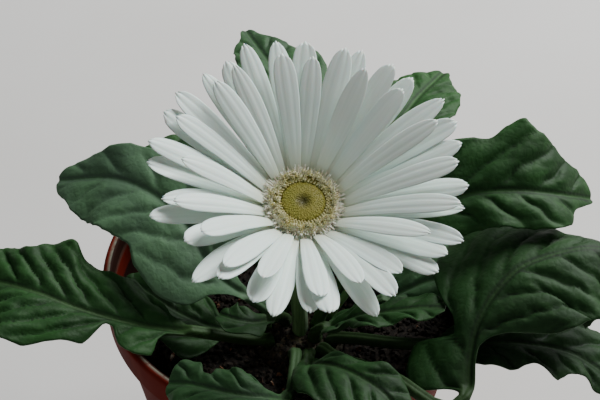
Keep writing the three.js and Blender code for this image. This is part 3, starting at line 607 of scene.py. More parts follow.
# Each leaf: its place on the crown (degrees, inner ring or not), where on its run the blade starts,
# roll and fold at base and tip, droop and wave of the edges, the midrib's run from the crown's
# middle (mm), and the outline: share of the blade, half width left and right (mm).
leaves = [
    dict(place=146, inner=0, start=0.2, roll=(22, 20), fold=(8, 8), droop=0.1, wave=1.4,
         ripples=3.8, phase=0.2,
         run=[(-17, 5, 112), (-27, 3, 125), (-32, 5, 134), (-38, 13, 140), (-49, 24, 143), (-64, 33, 142),
              (-84, 40, 134)],
         edges=[(0, 2, 2), (0.07, 2.5, 3), (0.13, 4, 6), (0.19, 8, 9), (0.22, 16, 11), (0.26, 20.5, 13),
                (0.34, 22, 15), (0.44, 19.3, 16), (0.54, 19.8, 15.5), (0.64, 19.7, 14.5), (0.74, 18.2, 13),
                (0.84, 15, 9.5), (0.93, 8.4, 6.3), (1, 2, 1.5)]),
    dict(place=206, inner=0, start=0.34, roll=(4, 8), fold=(10, 10), droop=0.14, wave=2.2,
         ripples=4.8, phase=0.6,
         run=[(-18, -10, 108), (-36, -14, 117), (-54, -14, 121), (-72, -11, 125), (-90, -5, 128),
              (-114, 6, 123)],
         edges=[(0, 2, 2), (0.1, 2.2, 5), (0.14, 5, 9), (0.165, 12, 11), (0.2, 13, 13), (0.26, 10.5, 16.5),
                (0.31, 3, 15.5), (0.335, 2.6, 16), (0.37, 12.5, 17), (0.44, 15.5, 18.5),
                (0.54, 20.5, 22.5), (0.64, 22, 20), (0.74, 22, 14.5), (0.84, 17, 14.5), (0.93, 9, 8),
                (1, 1.2, 1.2)]),
    dict(place=174, inner=0, start=0.32, roll=(0, 0), fold=(4, 4), droop=0.1, wave=1.2,
         ripples=3.6, phase=0.1,
         run=[(-15, 0, 105), (-27, -4, 107), (-37, -3, 111), (-45, 0, 114), (-53, 5, 116.5),
              (-60, 10, 116.5)],
         edges=[(0, 2, 2), (0.12, 2.5, 4), (0.19, 6, 7), (0.26, 11.5, 10), (0.34, 16.5, 11.5),
                (0.44, 14.5, 12), (0.54, 12.5, 12), (0.64, 12, 11), (0.74, 11, 10), (0.84, 9, 8),
                (0.93, 6, 5.5), (1, 1.5, 1.5)]),
    dict(place=140, inner=1, start=0.56, roll=(0, 0), fold=(8, 8), droop=0.1, wave=0.8,
         ripples=3, phase=0.1,
         run=[(-6.3, 0, 108), (-10.2, -7, 115), (-14.8, -11.5, 119), (-19.7, -12.7, 121),
              (-24.4, -11, 121), (-27, -8.6, 119.5)],
         edges=[(0, 2, 2), (0.12, 2.2, 3.5), (0.22, 2.6, 5), (0.32, 5, 6.2), (0.4, 7.3, 6.8), (0.48, 7, 7),
                (0.57, 6.7, 7), (0.65, 6.1, 6.6), (0.74, 5.2, 5.8), (0.88, 3, 3.8), (1, 1.2, 1.2)]),
    dict(place=262, inner=0, start=0.48, roll=(0, 0), fold=(10, 10), droop=0.15, wave=1.2,
         ripples=4, phase=0.3,
         run=[(-1.3, -13.6, 103.5), (-2, -23.3, 105), (-2.8, -33, 108.7), (-5.4, -40.4, 115.6),
              (-11.3, -44.2, 121), (-18.8, -45, 123), (-27.1, -42.9, 123), (-34.8, -40.2, 122),
              (-42.1, -37.9, 119.5)],
         edges=[(0, 2, 2), (0.1, 3, 2), (0.2, 6, 2.6), (0.24, 7.5, 3.5), (0.27, 9, 7.6), (0.31, 10, 10.3),
                (0.45, 11, 9.5), (0.58, 11, 9), (0.64, 10.5, 7.7), (0.685, 10.2, 4.9), (0.735, 10, 5),
                (0.785, 9.6, 9.2), (0.87, 8, 9.6), (0.94, 5.5, 7.4), (1, 1.2, 1.2)]),
    dict(place=286, inner=0, start=0.22, roll=(0, 0), fold=(5, 5), droop=0.1, wave=1.4,
         ripples=3.6, phase=0.5,
         run=[(3, -22, 110), (6, -28, 118), (12, -34, 123.5), (20, -41, 126), (28, -48, 124.5),
              (35, -57, 115.5)],
         edges=[(0, 2, 2), (0.06, 3, 3), (0.12, 5, 4.2), (0.17, 5.5, 5.8), (0.22, 5.6, 8.2),
                (0.28, 5.6, 11.5), (0.34, 6, 14.8), (0.42, 6.2, 16.4), (0.54, 6.4, 17.2), (0.63, 9, 17),
                (0.7, 9, 16), (0.8, 6.5, 13.5), (0.91, 4.5, 8.5), (1, 1.2, 1.2)]),
    dict(place=325, inner=1, start=0.34, roll=(16, 12), fold=(8, 8), droop=0.1, wave=1.6,
         ripples=3.6, phase=0.5,
         run=[(6, -6, 108), (12, -9, 115), (19, -11, 122), (28, -13, 126), (38, -14, 129),
              (47, -15.5, 130.5)],
         edges=[(0, 2, 2), (0.05, 5, 5), (0.12, 9, 7.5), (0.18, 10.5, 9), (0.25, 10, 3.5), (0.34, 8, 8),
                (0.44, 5, 11.5), (0.54, 6, 9), (0.64, 6.5, 7.2), (0.74, 7, 8), (0.84, 6.5, 7),
                (0.93, 5, 5), (1, 1.8, 1.8)]),
    dict(place=310, inner=0, start=0.46, roll=(0, 0), fold=(-2, -28), droop=0.08, wave=1.8,
         ripples=3.8, phase=0.55,
         run=[(13, -16, 105), (23, -27, 113.5), (32, -37, 119.5), (42, -46, 119.5), (49, -48, 120),
              (53, -42, 122.5), (54, -33, 128), (57, -24, 134.5), (64, -15, 140.5), (74, -8, 144.5),
              (94, -3, 146), (112, -2, 138)],
         edges=[(0, 2, 2), (0.05, 10, 2), (0.09, 19, 2), (0.14, 21, 2), (0.18, 20, 2.2), (0.215, 7, 4),
                (0.26, 9, 8.5), (0.3, 18, 16), (0.35, 27, 24.5), (0.44, 31, 28), (0.54, 30, 26),
                (0.64, 24, 25), (0.7, 15, 24), (0.76, 9, 22), (0.85, 6, 17), (0.93, 4, 10), (1, 1.2, 1.5)]),
    dict(place=20, inner=1, start=0.42, roll=(-34, -26), fold=(8, 8), droop=0.1, wave=1.6,
         ripples=3.6, phase=0.4,
         run=[(10, 4, 112), (22, 8, 130), (38, 11, 145), (54, 14, 153), (71, 14, 155), (86, 16, 151),
              (98, 22, 143)],
         edges=[(0, 2, 2), (0.06, 6, 5), (0.13, 11, 8.5), (0.2, 15, 11), (0.27, 17.5, 12.5),
                (0.35, 18.5, 13), (0.44, 17.5, 13), (0.5, 22, 13), (0.55, 24.5, 13), (0.64, 20, 13),
                (0.74, 16.5, 12.5), (0.8, 13.5, 10.5), (0.86, 11, 5), (0.94, 8, 3), (1, 2.5, 1.2)]),
    dict(place=336, inner=0, start=0.42, roll=(0, 0), fold=(6, 6), droop=0.12, wave=1.8,
         ripples=4.2, phase=0.1,
         run=[(18, -8, 106), (33, -16, 113), (46, -21, 118.5), (57, -22, 121), (73, -22, 120.5),
              (90, -24, 117), (108, -30, 106)],
         edges=[(0, 2, 2), (0.06, 4.5, 4.5), (0.13, 7, 7.5), (0.2, 9, 9.5), (0.27, 11, 10.3),
                (0.35, 12, 10.3), (0.44, 13, 8.4), (0.54, 14, 12.5), (0.64, 15, 8.6), (0.74, 15.5, 7.5),
                (0.84, 12.5, 8), (0.93, 7.5, 5.5), (1, 1.2, 1.2)]),
    dict(place=88, inner=0, start=0.4, roll=(0, 0), fold=(10, 10), droop=0.12, wave=1.2,
         ripples=4, phase=0.7,
         run=[(-1, 15, 114), (-3, 26, 134), (-5, 42, 148), (-7, 66, 156.5), (-19.8, 99.2, 153)],
         edges=[(0, 2, 2), (0.08, 4.5, 5), (0.18, 8, 9.5), (0.3, 10.5, 14), (0.44, 13, 17.5),
                (0.58, 13, 17.7), (0.66, 12, 14.6), (0.76, 10.4, 10.8), (0.85, 8.5, 7.4), (0.93, 3.9, 4.1),
                (1, 1.2, 1.2)]),
    dict(place=60, inner=0, start=0.4, roll=(0, 0), fold=(10, 10), droop=0.12, wave=1,
         ripples=4, phase=0.2,
         run=[(8, 13, 112), (17, 26, 130), (29, 46, 143), (40, 66, 147), (53, 92, 139)],
         edges=[(0, 2, 2), (0.08, 4.5, 5), (0.18, 8, 9), (0.3, 11, 13), (0.43, 13.5, 15.5),
                (0.56, 13.5, 16), (0.66, 12.8, 15), (0.75, 11.2, 12.5), (0.85, 7.6, 8.2), (0.94, 4.4, 4),
                (1, 2, 2)]),
    dict(place=118, inner=0, start=0.4, roll=(0, 0), fold=(8, 8), droop=0.14, wave=1.8,
         ripples=4.2, phase=0.9,
         run=[(-10, 15, 108), (-20, 30, 120), (-31, 46, 127), (-42, 62, 127), (-52, 78, 118)],
         edges=lobedEdges(15, 3.6, 0.9)),
    dict(place=32, inner=0, start=0.42, roll=(0, 0), fold=(8, 8), droop=0.14, wave=1.8,
         ripples=4.2, phase=0.4,
         run=[(15, 11, 107), (30, 28, 118), (48, 46, 124), (66, 60, 122), (80, 74, 112)],
         edges=lobedEdges(14, 3.6, 0.4)),
    dict(place=4, inner=0, start=0.38, roll=(-6, -6), fold=(8, 8), droop=0.1, wave=1.6,
         ripples=3.8, phase=0.6,
         run=[(17, 2, 106), (31, 4, 114), (44, 6, 120), (60, 7, 122), (78, 8, 117)],
         edges=lobedEdges(14, 3.2, 0.6)),
]


def leafMaterial():
    look = leafLook
    made, tree, shader = newMaterial("leafDownyCuticle", Roughness=0.62, IOR=1.4, Specular_IOR_Level=0.3,
                                     Sheen_Weight=0.03, Sheen_Roughness=0.45,
                                     Sheen_Tint=hexColor(look["sheen"]))
    fine = grain(tree, 2.4)
    tone = layered(
        tree, look["dark"], (look["green"], (grain(tree, 16), 0.34, 0.66)),
        (look["light"], (fine, 0.5, 1.15)),
        # crease: painted shade, darker along the vein creases and beside the midrib
        *[(look[part], (part, 0, 1)) for part in ("crease", "rib", "stalk", "under")],
        (look["downAndSheen"], ("lightness", 1, 3)))
    # lightness below 1 scales the colour down, for an old leaf's deeper green and for painted shade; above 1
    # the grey coat comes in, for down and for painted sheen
    lightness = addNode(tree, "ShaderNodeAttribute", attribute_name="lightness").outputs["Fac"]
    depth = addNode(tree, "ShaderNodeMath", {0: lightness, 1: 1.0}, operation="MINIMUM")
    tone = addNode(tree, "ShaderNodeVectorMath", {0: tone, "Scale": depth}, operation="SCALE")
    place = addNode(tree, "ShaderNodeTexCoord")
    bend = addNode(tree, "ShaderNodeVectorMath", {0: fine.outputs["Color"], "Scale": 0.9 * mm},
                   operation="SCALE")
    bent = addNode(tree, "ShaderNodeVectorMath", {0: place.outputs["Object"], 1: bend}, operation="ADD")
    net = addNode(tree, "ShaderNodeTexVoronoi", {"Vector": bent, "Scale": 1 / (2.3 * mm)},
                  feature="DISTANCE_TO_EDGE")  # the fine net of veins, about 2.3 mm a mesh
    dress(tree, shader, tone, (overlap(tree, (net, 0, 0.3)), 0.16, 0.3), (fine, 0.35, 0.4))
    return made


def leafRun(leaf):
    ring = crown["innerRing"] if leaf["inner"] else crown["outerRing"]
    toward = np.array([math.cos(math.radians(leaf["place"])), math.sin(math.radians(leaf["place"])), 0])
    middle = np.array([crown["x"], crown["y"], 0])
    foot = middle + toward * ring + (0, 0, petiole["sunk"])
    leaving = foot + toward * 0.7 + (0, 0, crown["top"] - petiole["sunk"])
    return smoothRun([foot, leaving, *[middle + np.array(p, float) for p in leaf["run"]]])


def leafFrame(leaf, run, at, bladeShare):  # the midrib's points and directions, rightward, and up
    line = run[0]
    centre, along = alongRun(run, at)
    span = (line[-1] - line[0]) * (1, 1, 0)
    heading = along * (1, 1, 0) + 0.35 * span / np.linalg.norm(span)
    side = np.cross(heading, (0, 0, 1))
    side -= along * np.sum(side * along, 1, keepdims=True)
    side /= np.linalg.norm(side, axis=1, keepdims=True)
    roll = -np.radians(mix(leaf["roll"][0], leaf["roll"][1], bladeShare))[:, None]
    side = side * np.cos(roll) + np.cross(along, side) * np.sin(roll)
    return centre, along, side, np.cross(side, along)


def smoothTable(rows, column, at):  # a curve through the rows that doesn't overshoot them
    rows = np.asarray(rows, float)
    x, y = rows[:, 0], rows[:, column]
    step = np.diff(x)
    slope = np.diff(y) / step
    lean = np.zeros(len(x))
    same = slope[:-1] * slope[1:] > 0
    lean[1:-1][same] = 2 / (1 / slope[:-1][same] + 1 / slope[1:][same])
    lean[0], lean[-1] = slope[0], 2.4 * slope[-1]
    i = np.clip(np.searchsorted(x, at, side="right") - 1, 0, len(step) - 1)
    t = (at - x[i]) / step[i]
    return (y[i] * (1 + 2 * t) * (1 - t) ** 2 + lean[i] * step[i] * t * (1 - t) ** 2
            + y[i + 1] * t ** 2 * (3 - 2 * t) + lean[i + 1] * step[i] * t ** 2 * (t - 1))


def crumple(along, across, seed):  # waves of many directions and lengths, laid over each other
    draw = seededRandom(seed)
    total = 0
    for i in range(9):
        turn, wavelength = draw() * math.pi, 4.5 + 7 * draw()
        total = total + np.sin(2 * np.pi * (along * math.cos(turn) + across * math.sin(turn)) / wavelength
                               + 6.28 * draw())
    return total / 4.5


def quilting(fromBase, fromRib, rightward, reach, half, spacing, seed):
    look = leafLook
    # side veins run out and forward from the midrib, with the blade puffed up between them
    forward = fromBase - look["veinSweep"] * fromRib - 0.011 * fromRib ** 2
    wobble = crumple(fromBase, fromRib * np.where(rightward, 1, -1), 40 + seed)
    beat = forward / spacing + np.where(rightward, 0.45, 0) + 0.09 * wobble
    panel = np.floor(beat)
    ridge = np.abs(2 * (beat - panel) - 1)
    # cross veins part each panel into cushions, out of step with those of its neighbours
    shift = np.modf(np.abs(np.sin(panel * 12.9898 + 4.1 + seed) * 437.585))[0]
    crossBeat = fromRib * 1.2 / look["crossSpacing"] + shift + 0.16 * wobble
    crossRidge = np.abs(2 * (crossBeat - np.floor(crossBeat)) - 1)
    room = smoothStep(0.8, 4.5, fromRib) * (1 - 0.7 * reach ** 5) * np.minimum(1, half / 9)
    puff = 1 - ridge ** 3
    relief = look["puff"] * (puff - 0.6) * room
    relief += look["crossPuff"] * (1 - crossRidge ** 2.2 - 0.6) * puff * room
    relief += look["crumple"] * wobble * room
    # how far into a crease each point lies: it thickens the underside there, and paints shade on the upper
    # side
    crease = (ridge ** 20 + 0.3 * crossRidge ** 14 * puff) * (1 - reach ** 4)
    crease += 0.8 * bell(fromRib - 0.9, 0.35)
    return relief, np.clip(crease, 0, 1)


def leafMesh(leaf, number):
    look = leafLook
    run = leafRun(leaf)
    length = run[2] * (1 - leaf["start"])
    rows, columns = look["rows"], look["columns"]
    even = np.linspace(0, 1, rows)
    share = mix(even, 0.5 - 0.5 * np.cos(np.pi * even), 0.45)
    centre, along, side, up = leafFrame(leaf, run, mix(leaf["start"], 1, share), share)
    spread = np.linspace(-1, 1, columns)
    across = np.sign(spread) * np.abs(spread) ** 1.1
    column, row = np.meshgrid(across, share)
    reach = np.abs(column)
    rightward = column > 0
    widths = [smoothTable(leaf["edges"], k, share)[:, None] for k in (1, 2)]
    full = np.where(rightward, max(e[2] for e in leaf["edges"]), max(e[1] for e in leaf["edges"]))
    half = np.where(rightward, widths[1], widths[0])
    tooth = 1 - np.abs(np.sin(np.pi * row * length / look["toothSpacing"] + leaf["phase"] + rightward))
    half = half + look["toothDepth"] * tooth ** 1.4 * smoothStep(4, 9, half)
    ripple = np.sin(2 * np.pi * (leaf["ripples"] * row + leaf["phase"] + np.where(rightward, 0.15, 0.6)))
    fold = np.radians(mix(leaf["fold"][0], leaf["fold"][1], row))
    lift = half * (reach * np.sin(fold) - leaf["droop"] * reach ** 2)
    lift += leaf["wave"] * reach ** 2 * ripple * np.minimum(1, half / full)
    sweep = mix(-0.4, 0.35, np.minimum(1, row * 2.2)) * half * reach * (1 - row * 0.6)
    fromRib, fromBase = reach * half, row * length
    spacing, paleness, puffed, lightness = leafTraits.get(number, usualTraits)
    relief, crease = quilting(fromBase, fromRib, rightward, reach, half, spacing, number)
    rib = bell(fromRib, 0.6) * (1 - 0.5 * row)
    lift += puffed * relief - look["grooveDepth"] * bell(fromRib, 1.2) * (1 - 0.6 * row)

    def sheet(height):
        return (centre[:, None] + side[:, None] * (column * half * np.cos(fold))[..., None]
                + up[:, None] * height[..., None] + along[:, None] * sweep[..., None])

    body = mix(look["edgeThickness"], look["thickness"], 1 - reach ** 2)
    underRib = look["midrib"] * (1 - row) * bell(fromRib, 1.7) + 0.3 * crease
    blade = np.concatenate([sheet(lift), sheet(lift - body - underRib)[:, ::-1]], 1)

    # the stalk: a grooved round that widens into the blade
    sunk = np.interp(crown["top"], *sunkShares(run))
    rise = np.linspace(0, 1, look["stalkRows"]) ** 1.6
    stalkShares = np.concatenate([[0], mix(sunk, leaf["start"], rise)])[:-1]
    stalk = stalkRings(leaf, run, stalkShares, 0 * stalkShares)
    neck = stalkRings(leaf, run, mix(leaf["start"], 1, share), share)
    rings = np.concatenate([stalk, mix(neck, blade, smoothStep(0, 0.06, share)[:, None, None])])
    count = 2 * columns

    def attribute(upper, lower, onStalk):
        values = np.full((len(rings), count), float(onStalk))
        values[len(stalk):] = np.concatenate([upper, lower[:, ::-1]], 1)
        return values

    none = 0 * rib
    # the stalk colour, a deep dull green, on the stalks and the blade's foot: their own green, darkened as
    # painted shade where they lie low under the blades
    stalkLike = bell(row, 0.08) * (1 - smoothStep(2, 4, fromRib))
    return buildMesh(f"leafMesh{number:02d}", rings * mm, ringFaces(len(rings), count), {
        "rib": attribute(paleness * rib, 0.9 * rib, 0), "crease": attribute(0.85 * crease, none, 0),
        "under": attribute(none, none + 1, 0), "stalk": attribute(stalkLike, none, 1),
        "lightness": np.full((len(rings), count), lightness)})


def sunkShares(run):  # heights and shares of the part that stands in the crown
    line, shares = run[:2]
    low = line[:, 2] <= crown["top"] + 1
    return line[low, 2], shares[low]


def stalkRings(leaf, run, at, bladeShare):
    centre, _, side, up = leafFrame(leaf, run, at, bladeShare)
    radius = mix(petiole["radius"], petiole["neckRadius"], np.minimum(1, at / leaf["start"]))[:, None]
    over = np.linspace(math.pi, 0, leafLook["columns"])
    turn = np.concatenate([over, np.linspace(0, -math.pi, leafLook["columns"])])
    groove = 1 - 0.22 * bell(turn - math.pi / 2, 0.42)
    sheath = 1 + 0.24 * bell(centre[:, 2] - crown["top"] - 0.9, 0.7)[:, None]
    out = radius * np.where(at[:, None] < leaf["start"], groove * sheath, groove)
    return ringsRound(centre, side, up, out, turn)


leafSkin = leafMaterial()
for number, leaf in enumerate(leaves, 1):
    finishPiece(f"leafBlade_{number:02d}", leafMesh(leaf, number), leafSkin, [f"leaf_{number:02d}"])
say(f"{len(leaves)} leaves grown")


# rootstock: fibrous and brownish green, matt like dry bark, with the paler threads of old leaf sheaths
rootstock = {"color": "#1E1A12", "greenColor": "#33301D", "fibreColor": "#5A4730", "roughness": 0.14}


def rootstockMaterial():
    made, tree, shader = newMaterial("rootstockFibrous", Roughness=0.85, IOR=1.45)
    fibres = grain(tree, 1.4, 5.0, (1, 1, 0.3))
    tone = layered(tree, rootstock["color"], (rootstock["greenColor"], (grain(tree, 6), 0.35, 0.65)),
                   (rootstock["fibreColor"], (fibres, 0.52, 0.76)))
    dress(tree, shader, tone, (fibres, 0.4, 0.9))
    return made


def rootstockMesh():
    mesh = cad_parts["rootstock"].data.copy()
    mesh.name = "rootstockBody"
    work = bmesh.new()
    work.from_mesh(mesh)
    bmesh.ops.remove_doubles(work, verts=work.verts, dist=1e-6)
    bmesh.ops.triangulate(work, faces=work.faces)
    bmesh.ops.subdivide_edges(work, edges=work.edges, cuts=2, use_grid_fill=True)
    for vert in work.verts:
        x, y, z = vert.co / mm
        rough = math.sin(2.1 * x + 1.3 * math.sin(1.7 * y)) * math.sin(1.9 * y + 0.8 * z)
        vert.co += vert.normal * rootstock["roughness"] * mm * rough
    work.to_mesh(mesh)
    work.free()
    mesh.shade_smooth()
    return mesh


crownPiece = finishPiece("rootstockCrown", rootstockMesh(), rootstockMaterial(), ["rootstock"])


def crownTopMesh():  # the crown's top and shoulder, for the crumbs that lie on them
    work = bmesh.new()
    work.from_mesh(crownPiece.data)
    low = (crown["top"] - 4) * mm
    hidden = [f for f in work.faces if f.normal.z < 0.35 or f.calc_center_median().z < low]
    bmesh.ops.delete(work, geom=hidden, context="FACES")
    return meshFrom(work, "crownTop")


strewnLumps("crownCrumbs", crownTopMesh(), peat, crown["crumbs"])


# flower stalk: soft, pale green and ribbed, with a dull silvery edge from the short down that covers it
scape = {
    "radius": 2.6, "sides": 28, "rows": 70, "ribs": 7, "ribDepth": 0.035, "hairLength": 0.7,
    "down": {"perSquareMetre": 420000, "size": (0.6, 1.2), "tumble": 0.5, "seed": 8},
    "color": "#3D5F31", "streakColor": "#6C9158",
}
bloomPlace = {"x": 1, "y": -9, "z": 171.5, "lean": 16, "leanAzimuth": -70}
receptacle = {"radius": 13, "top": -2, "depth": 14, "neck": 3.4}


def bloomMatrix():
    lean, toward = math.radians(bloomPlace["lean"]), math.radians(bloomPlace["leanAzimuth"])
    up = Vector((math.sin(lean) * math.cos(toward), math.sin(lean) * math.sin(toward), math.cos(lean)))
    centre = Vector((crown["x"] + bloomPlace["x"], crown["y"] + bloomPlace["y"], bloomPlace["z"])) * mm
    return Matrix.Translation(centre) @ Vector((0, 0, 1)).rotation_difference(up).to_matrix().to_4x4()


def stalkMaterial():
    made, tree, shader = newMaterial("stalkDownyGreen", Roughness=0.55, IOR=1.42, Specular_IOR_Level=0.35,
                                     Sheen_Weight=0.12)
    streaks = grain(tree, 1.2, 3.0, (1, 1, 0.08))
    tone = layered(tree, scape["color"], (scape["streakColor"], (streaks, 0.35, 0.7)))
    dress(tree, shader, tone, (streaks, 0.12, 0.6))
    return made


bloomAt = bloomMatrix()


def scapeMesh():
    up = bloomAt.to_3x3() @ Vector((0, 0, 1))
    end = bloomAt @ Vector((0, 0, -(receptacle["depth"] + 0.3) * mm))
    x, y, top = crown["x"] * mm, crown["y"] * mm, crown["top"] * mm
    run = smoothRun([(x, y, petiole["sunk"] * mm), (x, y, top + 6 * mm),
                     (x - 1 * mm, y - 0.5 * mm, top + 26 * mm), tuple(end - up * 12 * mm), tuple(end)])
    at = np.linspace(0, 1, scape["rows"])
    centre, along = alongRun(run, at)
    side = np.cross((0, 1, 0), along)
    side /= np.linalg.norm(side, axis=1, keepdims=True)
    turn = fullTurn(scape["sides"])
    ribbed = 1 + scape["ribDepth"] * np.cos(scape["ribs"] * turn)
    radius = mix(scape["radius"] * 1.06, scape["radius"] * 0.94, at)[:, None] * ribbed * mm
    rings = ringsRound(centre, side, np.cross(along, side), radius, turn)
    return buildMesh("scapeStalk", rings, ringFaces(len(rings), scape["sides"]))


def hairKind(length):  # one short hair, standing on +Z
    thin = length * 0.07
    corners = [(thin * math.cos(a), thin * math.sin(a), 0) for a in (0, 2.1, 4.2)]
    return rawMesh("hair", [*corners, (0.2 * length, 0, length)],
                   [(0, 1, 3), (1, 2, 3), (2, 0, 3), (2, 1, 0)])


stalkSkin = stalkMaterial()
stalk = finishPiece("flowerStalk", scapeMesh(), stalkSkin, ["scape"])
hairs = [hairKind(scape["hairLength"] * mm)]
down = strewn("stalkDown", stalk.data.copy(), stalkSkin, scape["down"], hairs)
finishPiece("flowerStalkDown", down, stalkSkin)
say("stalk and rootstock")


# bloom, in its own frame: +Z out of its face, its disc's rim at height 0, its florets seated at this height
seat = -1.7


def strapMesh(name, length, rise, width, breadth, thickness, rib=0.0, curl=0.0, notch=0.0, tipRound=0.0,
              stations=16, columns=7, arch=0.12, twist=0.0, bend=0.0):
    start, end = math.radians(rise[0]), math.radians(rise[1])
    across, share = np.meshgrid(np.linspace(-1, 1, columns), np.linspace(0, 1, stations) ** 0.85)
    cut = (tipRound * across ** 2 + notch * bell(np.abs(across) - 0.36, 0.13)) * share ** 14
    at = share * (1 - cut)
    slope = mix(start, end, at)
    out = length * (np.sin(slope) - math.sin(start)) / (end - start)
    height = -length * (np.cos(slope) - math.cos(start)) / (end - start)
    half = width * breadth(share)
    lift = arch * half * (1 - across ** 2) + curl * half * across ** 2 * share
    lift -= rib * bell(np.abs(across) - 0.38, 0.13) * smoothStep(0.05, 0.3, share)
    lift += math.radians(twist) * share * across * half
    body = thickness * (1 - 0.6 * across ** 2) * mix(1, 0.6, share)

    def sheet(raised):
        return np.stack([out - np.sin(slope) * raised, across * half + math.radians(bend) * out * share,
                         height + np.cos(slope) * raised], -1)

    rings = np.concatenate([sheet(lift), sheet(lift - body)[:, ::-1]], 1)
    return buildMesh(name, rings * mm, ringFaces(stations, 2 * columns), {
        "along": np.concatenate([share, share], 1), "across": np.concatenate([across, across[:, ::-1]], 1)})


def bloomPiece(name, meshes, material, node):  # a piece of the bloom, leaning with it
    whole = joined(name, meshes)
    whole.transform(bloomAt)
    finishPiece(name, whole, material, [node])


# petals: thin satin white tissue, faintly green, that lets a little light through; fine streaks run along it
# and its foot is creamier. roundTip and pointedTip give shares of the length and of the width.
rays = {
    "rows": (
        {"count": 32, "root": 12.3, "level": -0.9, "length": 41, "rise": (37, 17), "width": 3.95},
        {"count": 19, "root": 11.7, "level": -0.3, "length": 37, "rise": (43, 25), "width": 3.6}),
    "partings": (9, 85, 139, 209, 285, 316), "partingWidth": 3, "skew": 0.075, "kinds": 7, "stations": 30,
    "columns": 17, "thickness": 0.32, "rib": 0.1, "seed": 3, "shapeSeed": 31, "sway": (0.0, 1),
    "roundTip": ((0, 0.4), (0.18, 0.6), (0.35, 0.76), (0.52, 0.87), (0.68, 0.98), (0.8, 0.98), (0.9, 0.86),
                 (0.96, 0.68), (1, 0.42)),
    "pointedTip": ((0, 0.4), (0.18, 0.62), (0.35, 0.8), (0.52, 0.94), (0.64, 0.98), (0.76, 0.9),
                   (0.87, 0.7), (0.95, 0.46), (1, 0.26)),
    "collar": ((11.2, seat), (13.2, seat), (13.2, -0.5), (12, 0.1), (11.2, 0.3), (11.2, seat)),
    "color": "#DFEEE6", "streakColor": "#E9F6EF", "footColor": "#D6DCC6",
}


def petalMaterial():
    made, tree, shader = newMaterial("rayFloretSatinWhite", Roughness=0.48, IOR=1.4, Sheen_Weight=0.12,
                                     Subsurface_Weight=0.12, Subsurface_Scale=0.0015)
    along, across = [addNode(tree, "ShaderNodeAttribute", attribute_name=name).outputs["Fac"]
                     for name in ("along", "across")]
    place = addNode(tree, "ShaderNodeCombineXYZ", {"X": along, "Y": across})
    stretched = addNode(tree, "ShaderNodeMapping", {"Vector": place, "Scale": (1.5, 4, 1)})
    streaks = addNode(tree, "ShaderNodeTexNoise", {"Vector": stretched, "Scale": 1.0, "Detail": 3.0})
    tone = layered(tree, rays["color"], (rays["streakColor"], (streaks, 0.3, 0.75)),
                   (rays["footColor"], (along, 0.3, 0)))
    dress(tree, shader, tone, (streaks, 0.12, 0.3))
    return made


def petalBreadth(pointed):
    return lambda share: mix(
        smoothTable(rays["roundTip"], 1, share), smoothTable(rays["pointedTip"], 1, share), pointed)


def partedAzimuth(azimuth):
    shift = 0
    for parting in rays["partings"]:
        away = ((azimuth - parting + 540) % 360) - 180
        shift += math.copysign(1, away) * rays["partingWidth"] * bell(away, 9)
    return azimuth + shift


def petalKinds(row, draw):
    steep, level = row["rise"]
    return [strapMesh(
        "petal", row["length"], (steep - 3 + 6 * draw(), level - 3 + 6 * draw()), row["width"],
        petalBreadth(0.4 * i % 1), rays["thickness"], rib=rays["rib"] * (0.7 + 0.6 * draw()),
        curl=-0.12 + 0.3 * draw(), notch=0.008 + 0.02 * draw(), tipRound=0.03, stations=rays["stations"],
        columns=rays["columns"], twist=-7 + 14 * draw(), bend=-1.5 + 3 * draw())
        for i in range(rays["kinds"])]


def rayPoints(row, draw, offset, firstKind):
    points = []
    for i in range(row["count"]):
        lifted = i % 2
        azimuth = partedAzimuth(360 * (i + offset + 0.35 * (draw() - 0.5)) / row["count"])
        stretch = 1 + rays["skew"] * max(0, math.cos(math.radians(azimuth)))
        longer = stretch * (0.93 + 0.12 * draw())
        steeper = 3 * lifted + 5 * (draw() - 0.5) * 0.5
        wider = 0.92 + 0.14 * draw()
        twist, bend = 14 * (draw() - 0.5), 3 * (draw() - 0.5)
        turn = math.radians(azimuth + bend * 0.5)
        points.append(pointAt(row["root"] - 0.3 * lifted, turn, row["level"] + 0.5 * lifted,
                              (math.radians(twist * 0.4), -math.radians(steeper), turn),
                              (longer, wider, longer), firstKind + (i * 5 + lifted) % rays["kinds"]))
    return points


def rayMeshes(material):
    draw, shapes = seededRandom(rays["seed"]), seededRandom(rays["shapeSeed"])
    outer, inner = rays["rows"]
    points = rayPoints(outer, draw, 0.1, 0) + rayPoints(inner, draw, 0.4, rays["kinds"])
    kinds = petalKinds(outer, shapes) + petalKinds(inner, shapes)
    return [placed("rayPetals", points, material, rays["sway"], kinds),
            turnedMesh("rayCollar", rays["collar"])]


petalSkin = petalMaterial()
bloomPiece("rayFlorets", rayMeshes(petalSkin), petalSkin, "ray_florets")
say("ray florets set round the disc")


# fringe: a dense ring of fine straps, waxy and creamy white, standing at the disc and leaning over the
# petals;
# their feet and the ring they stand on are painted a darker beige, as painted shade down among them
fringe = {
    # ring, length, count, how far it leans out (radians)
    "rows": ((9.4, 2.7, 74, -0.1), (9.8, 3.0, 84, 0.1), (10.3, 3.2, 94, 0.3), (10.8, 2.8, 104, 0.6)),
    "strapWidth": 0.08, "thickness": 0.045, "narrowest": 2.0, "widest": 3.0, "kinds": 6, "seed": 5,
    "sway": (0.08, 2),
    "collar": ((9.4, seat), (11.1, seat), (11.1, 0.8), (10.4, 1.6), (9.4, 1.9), (9.4, seat)),
    "footColor": "#CEC9AD", "color": "#E8E7D9", "dullColor": "#CBBEA6",
}


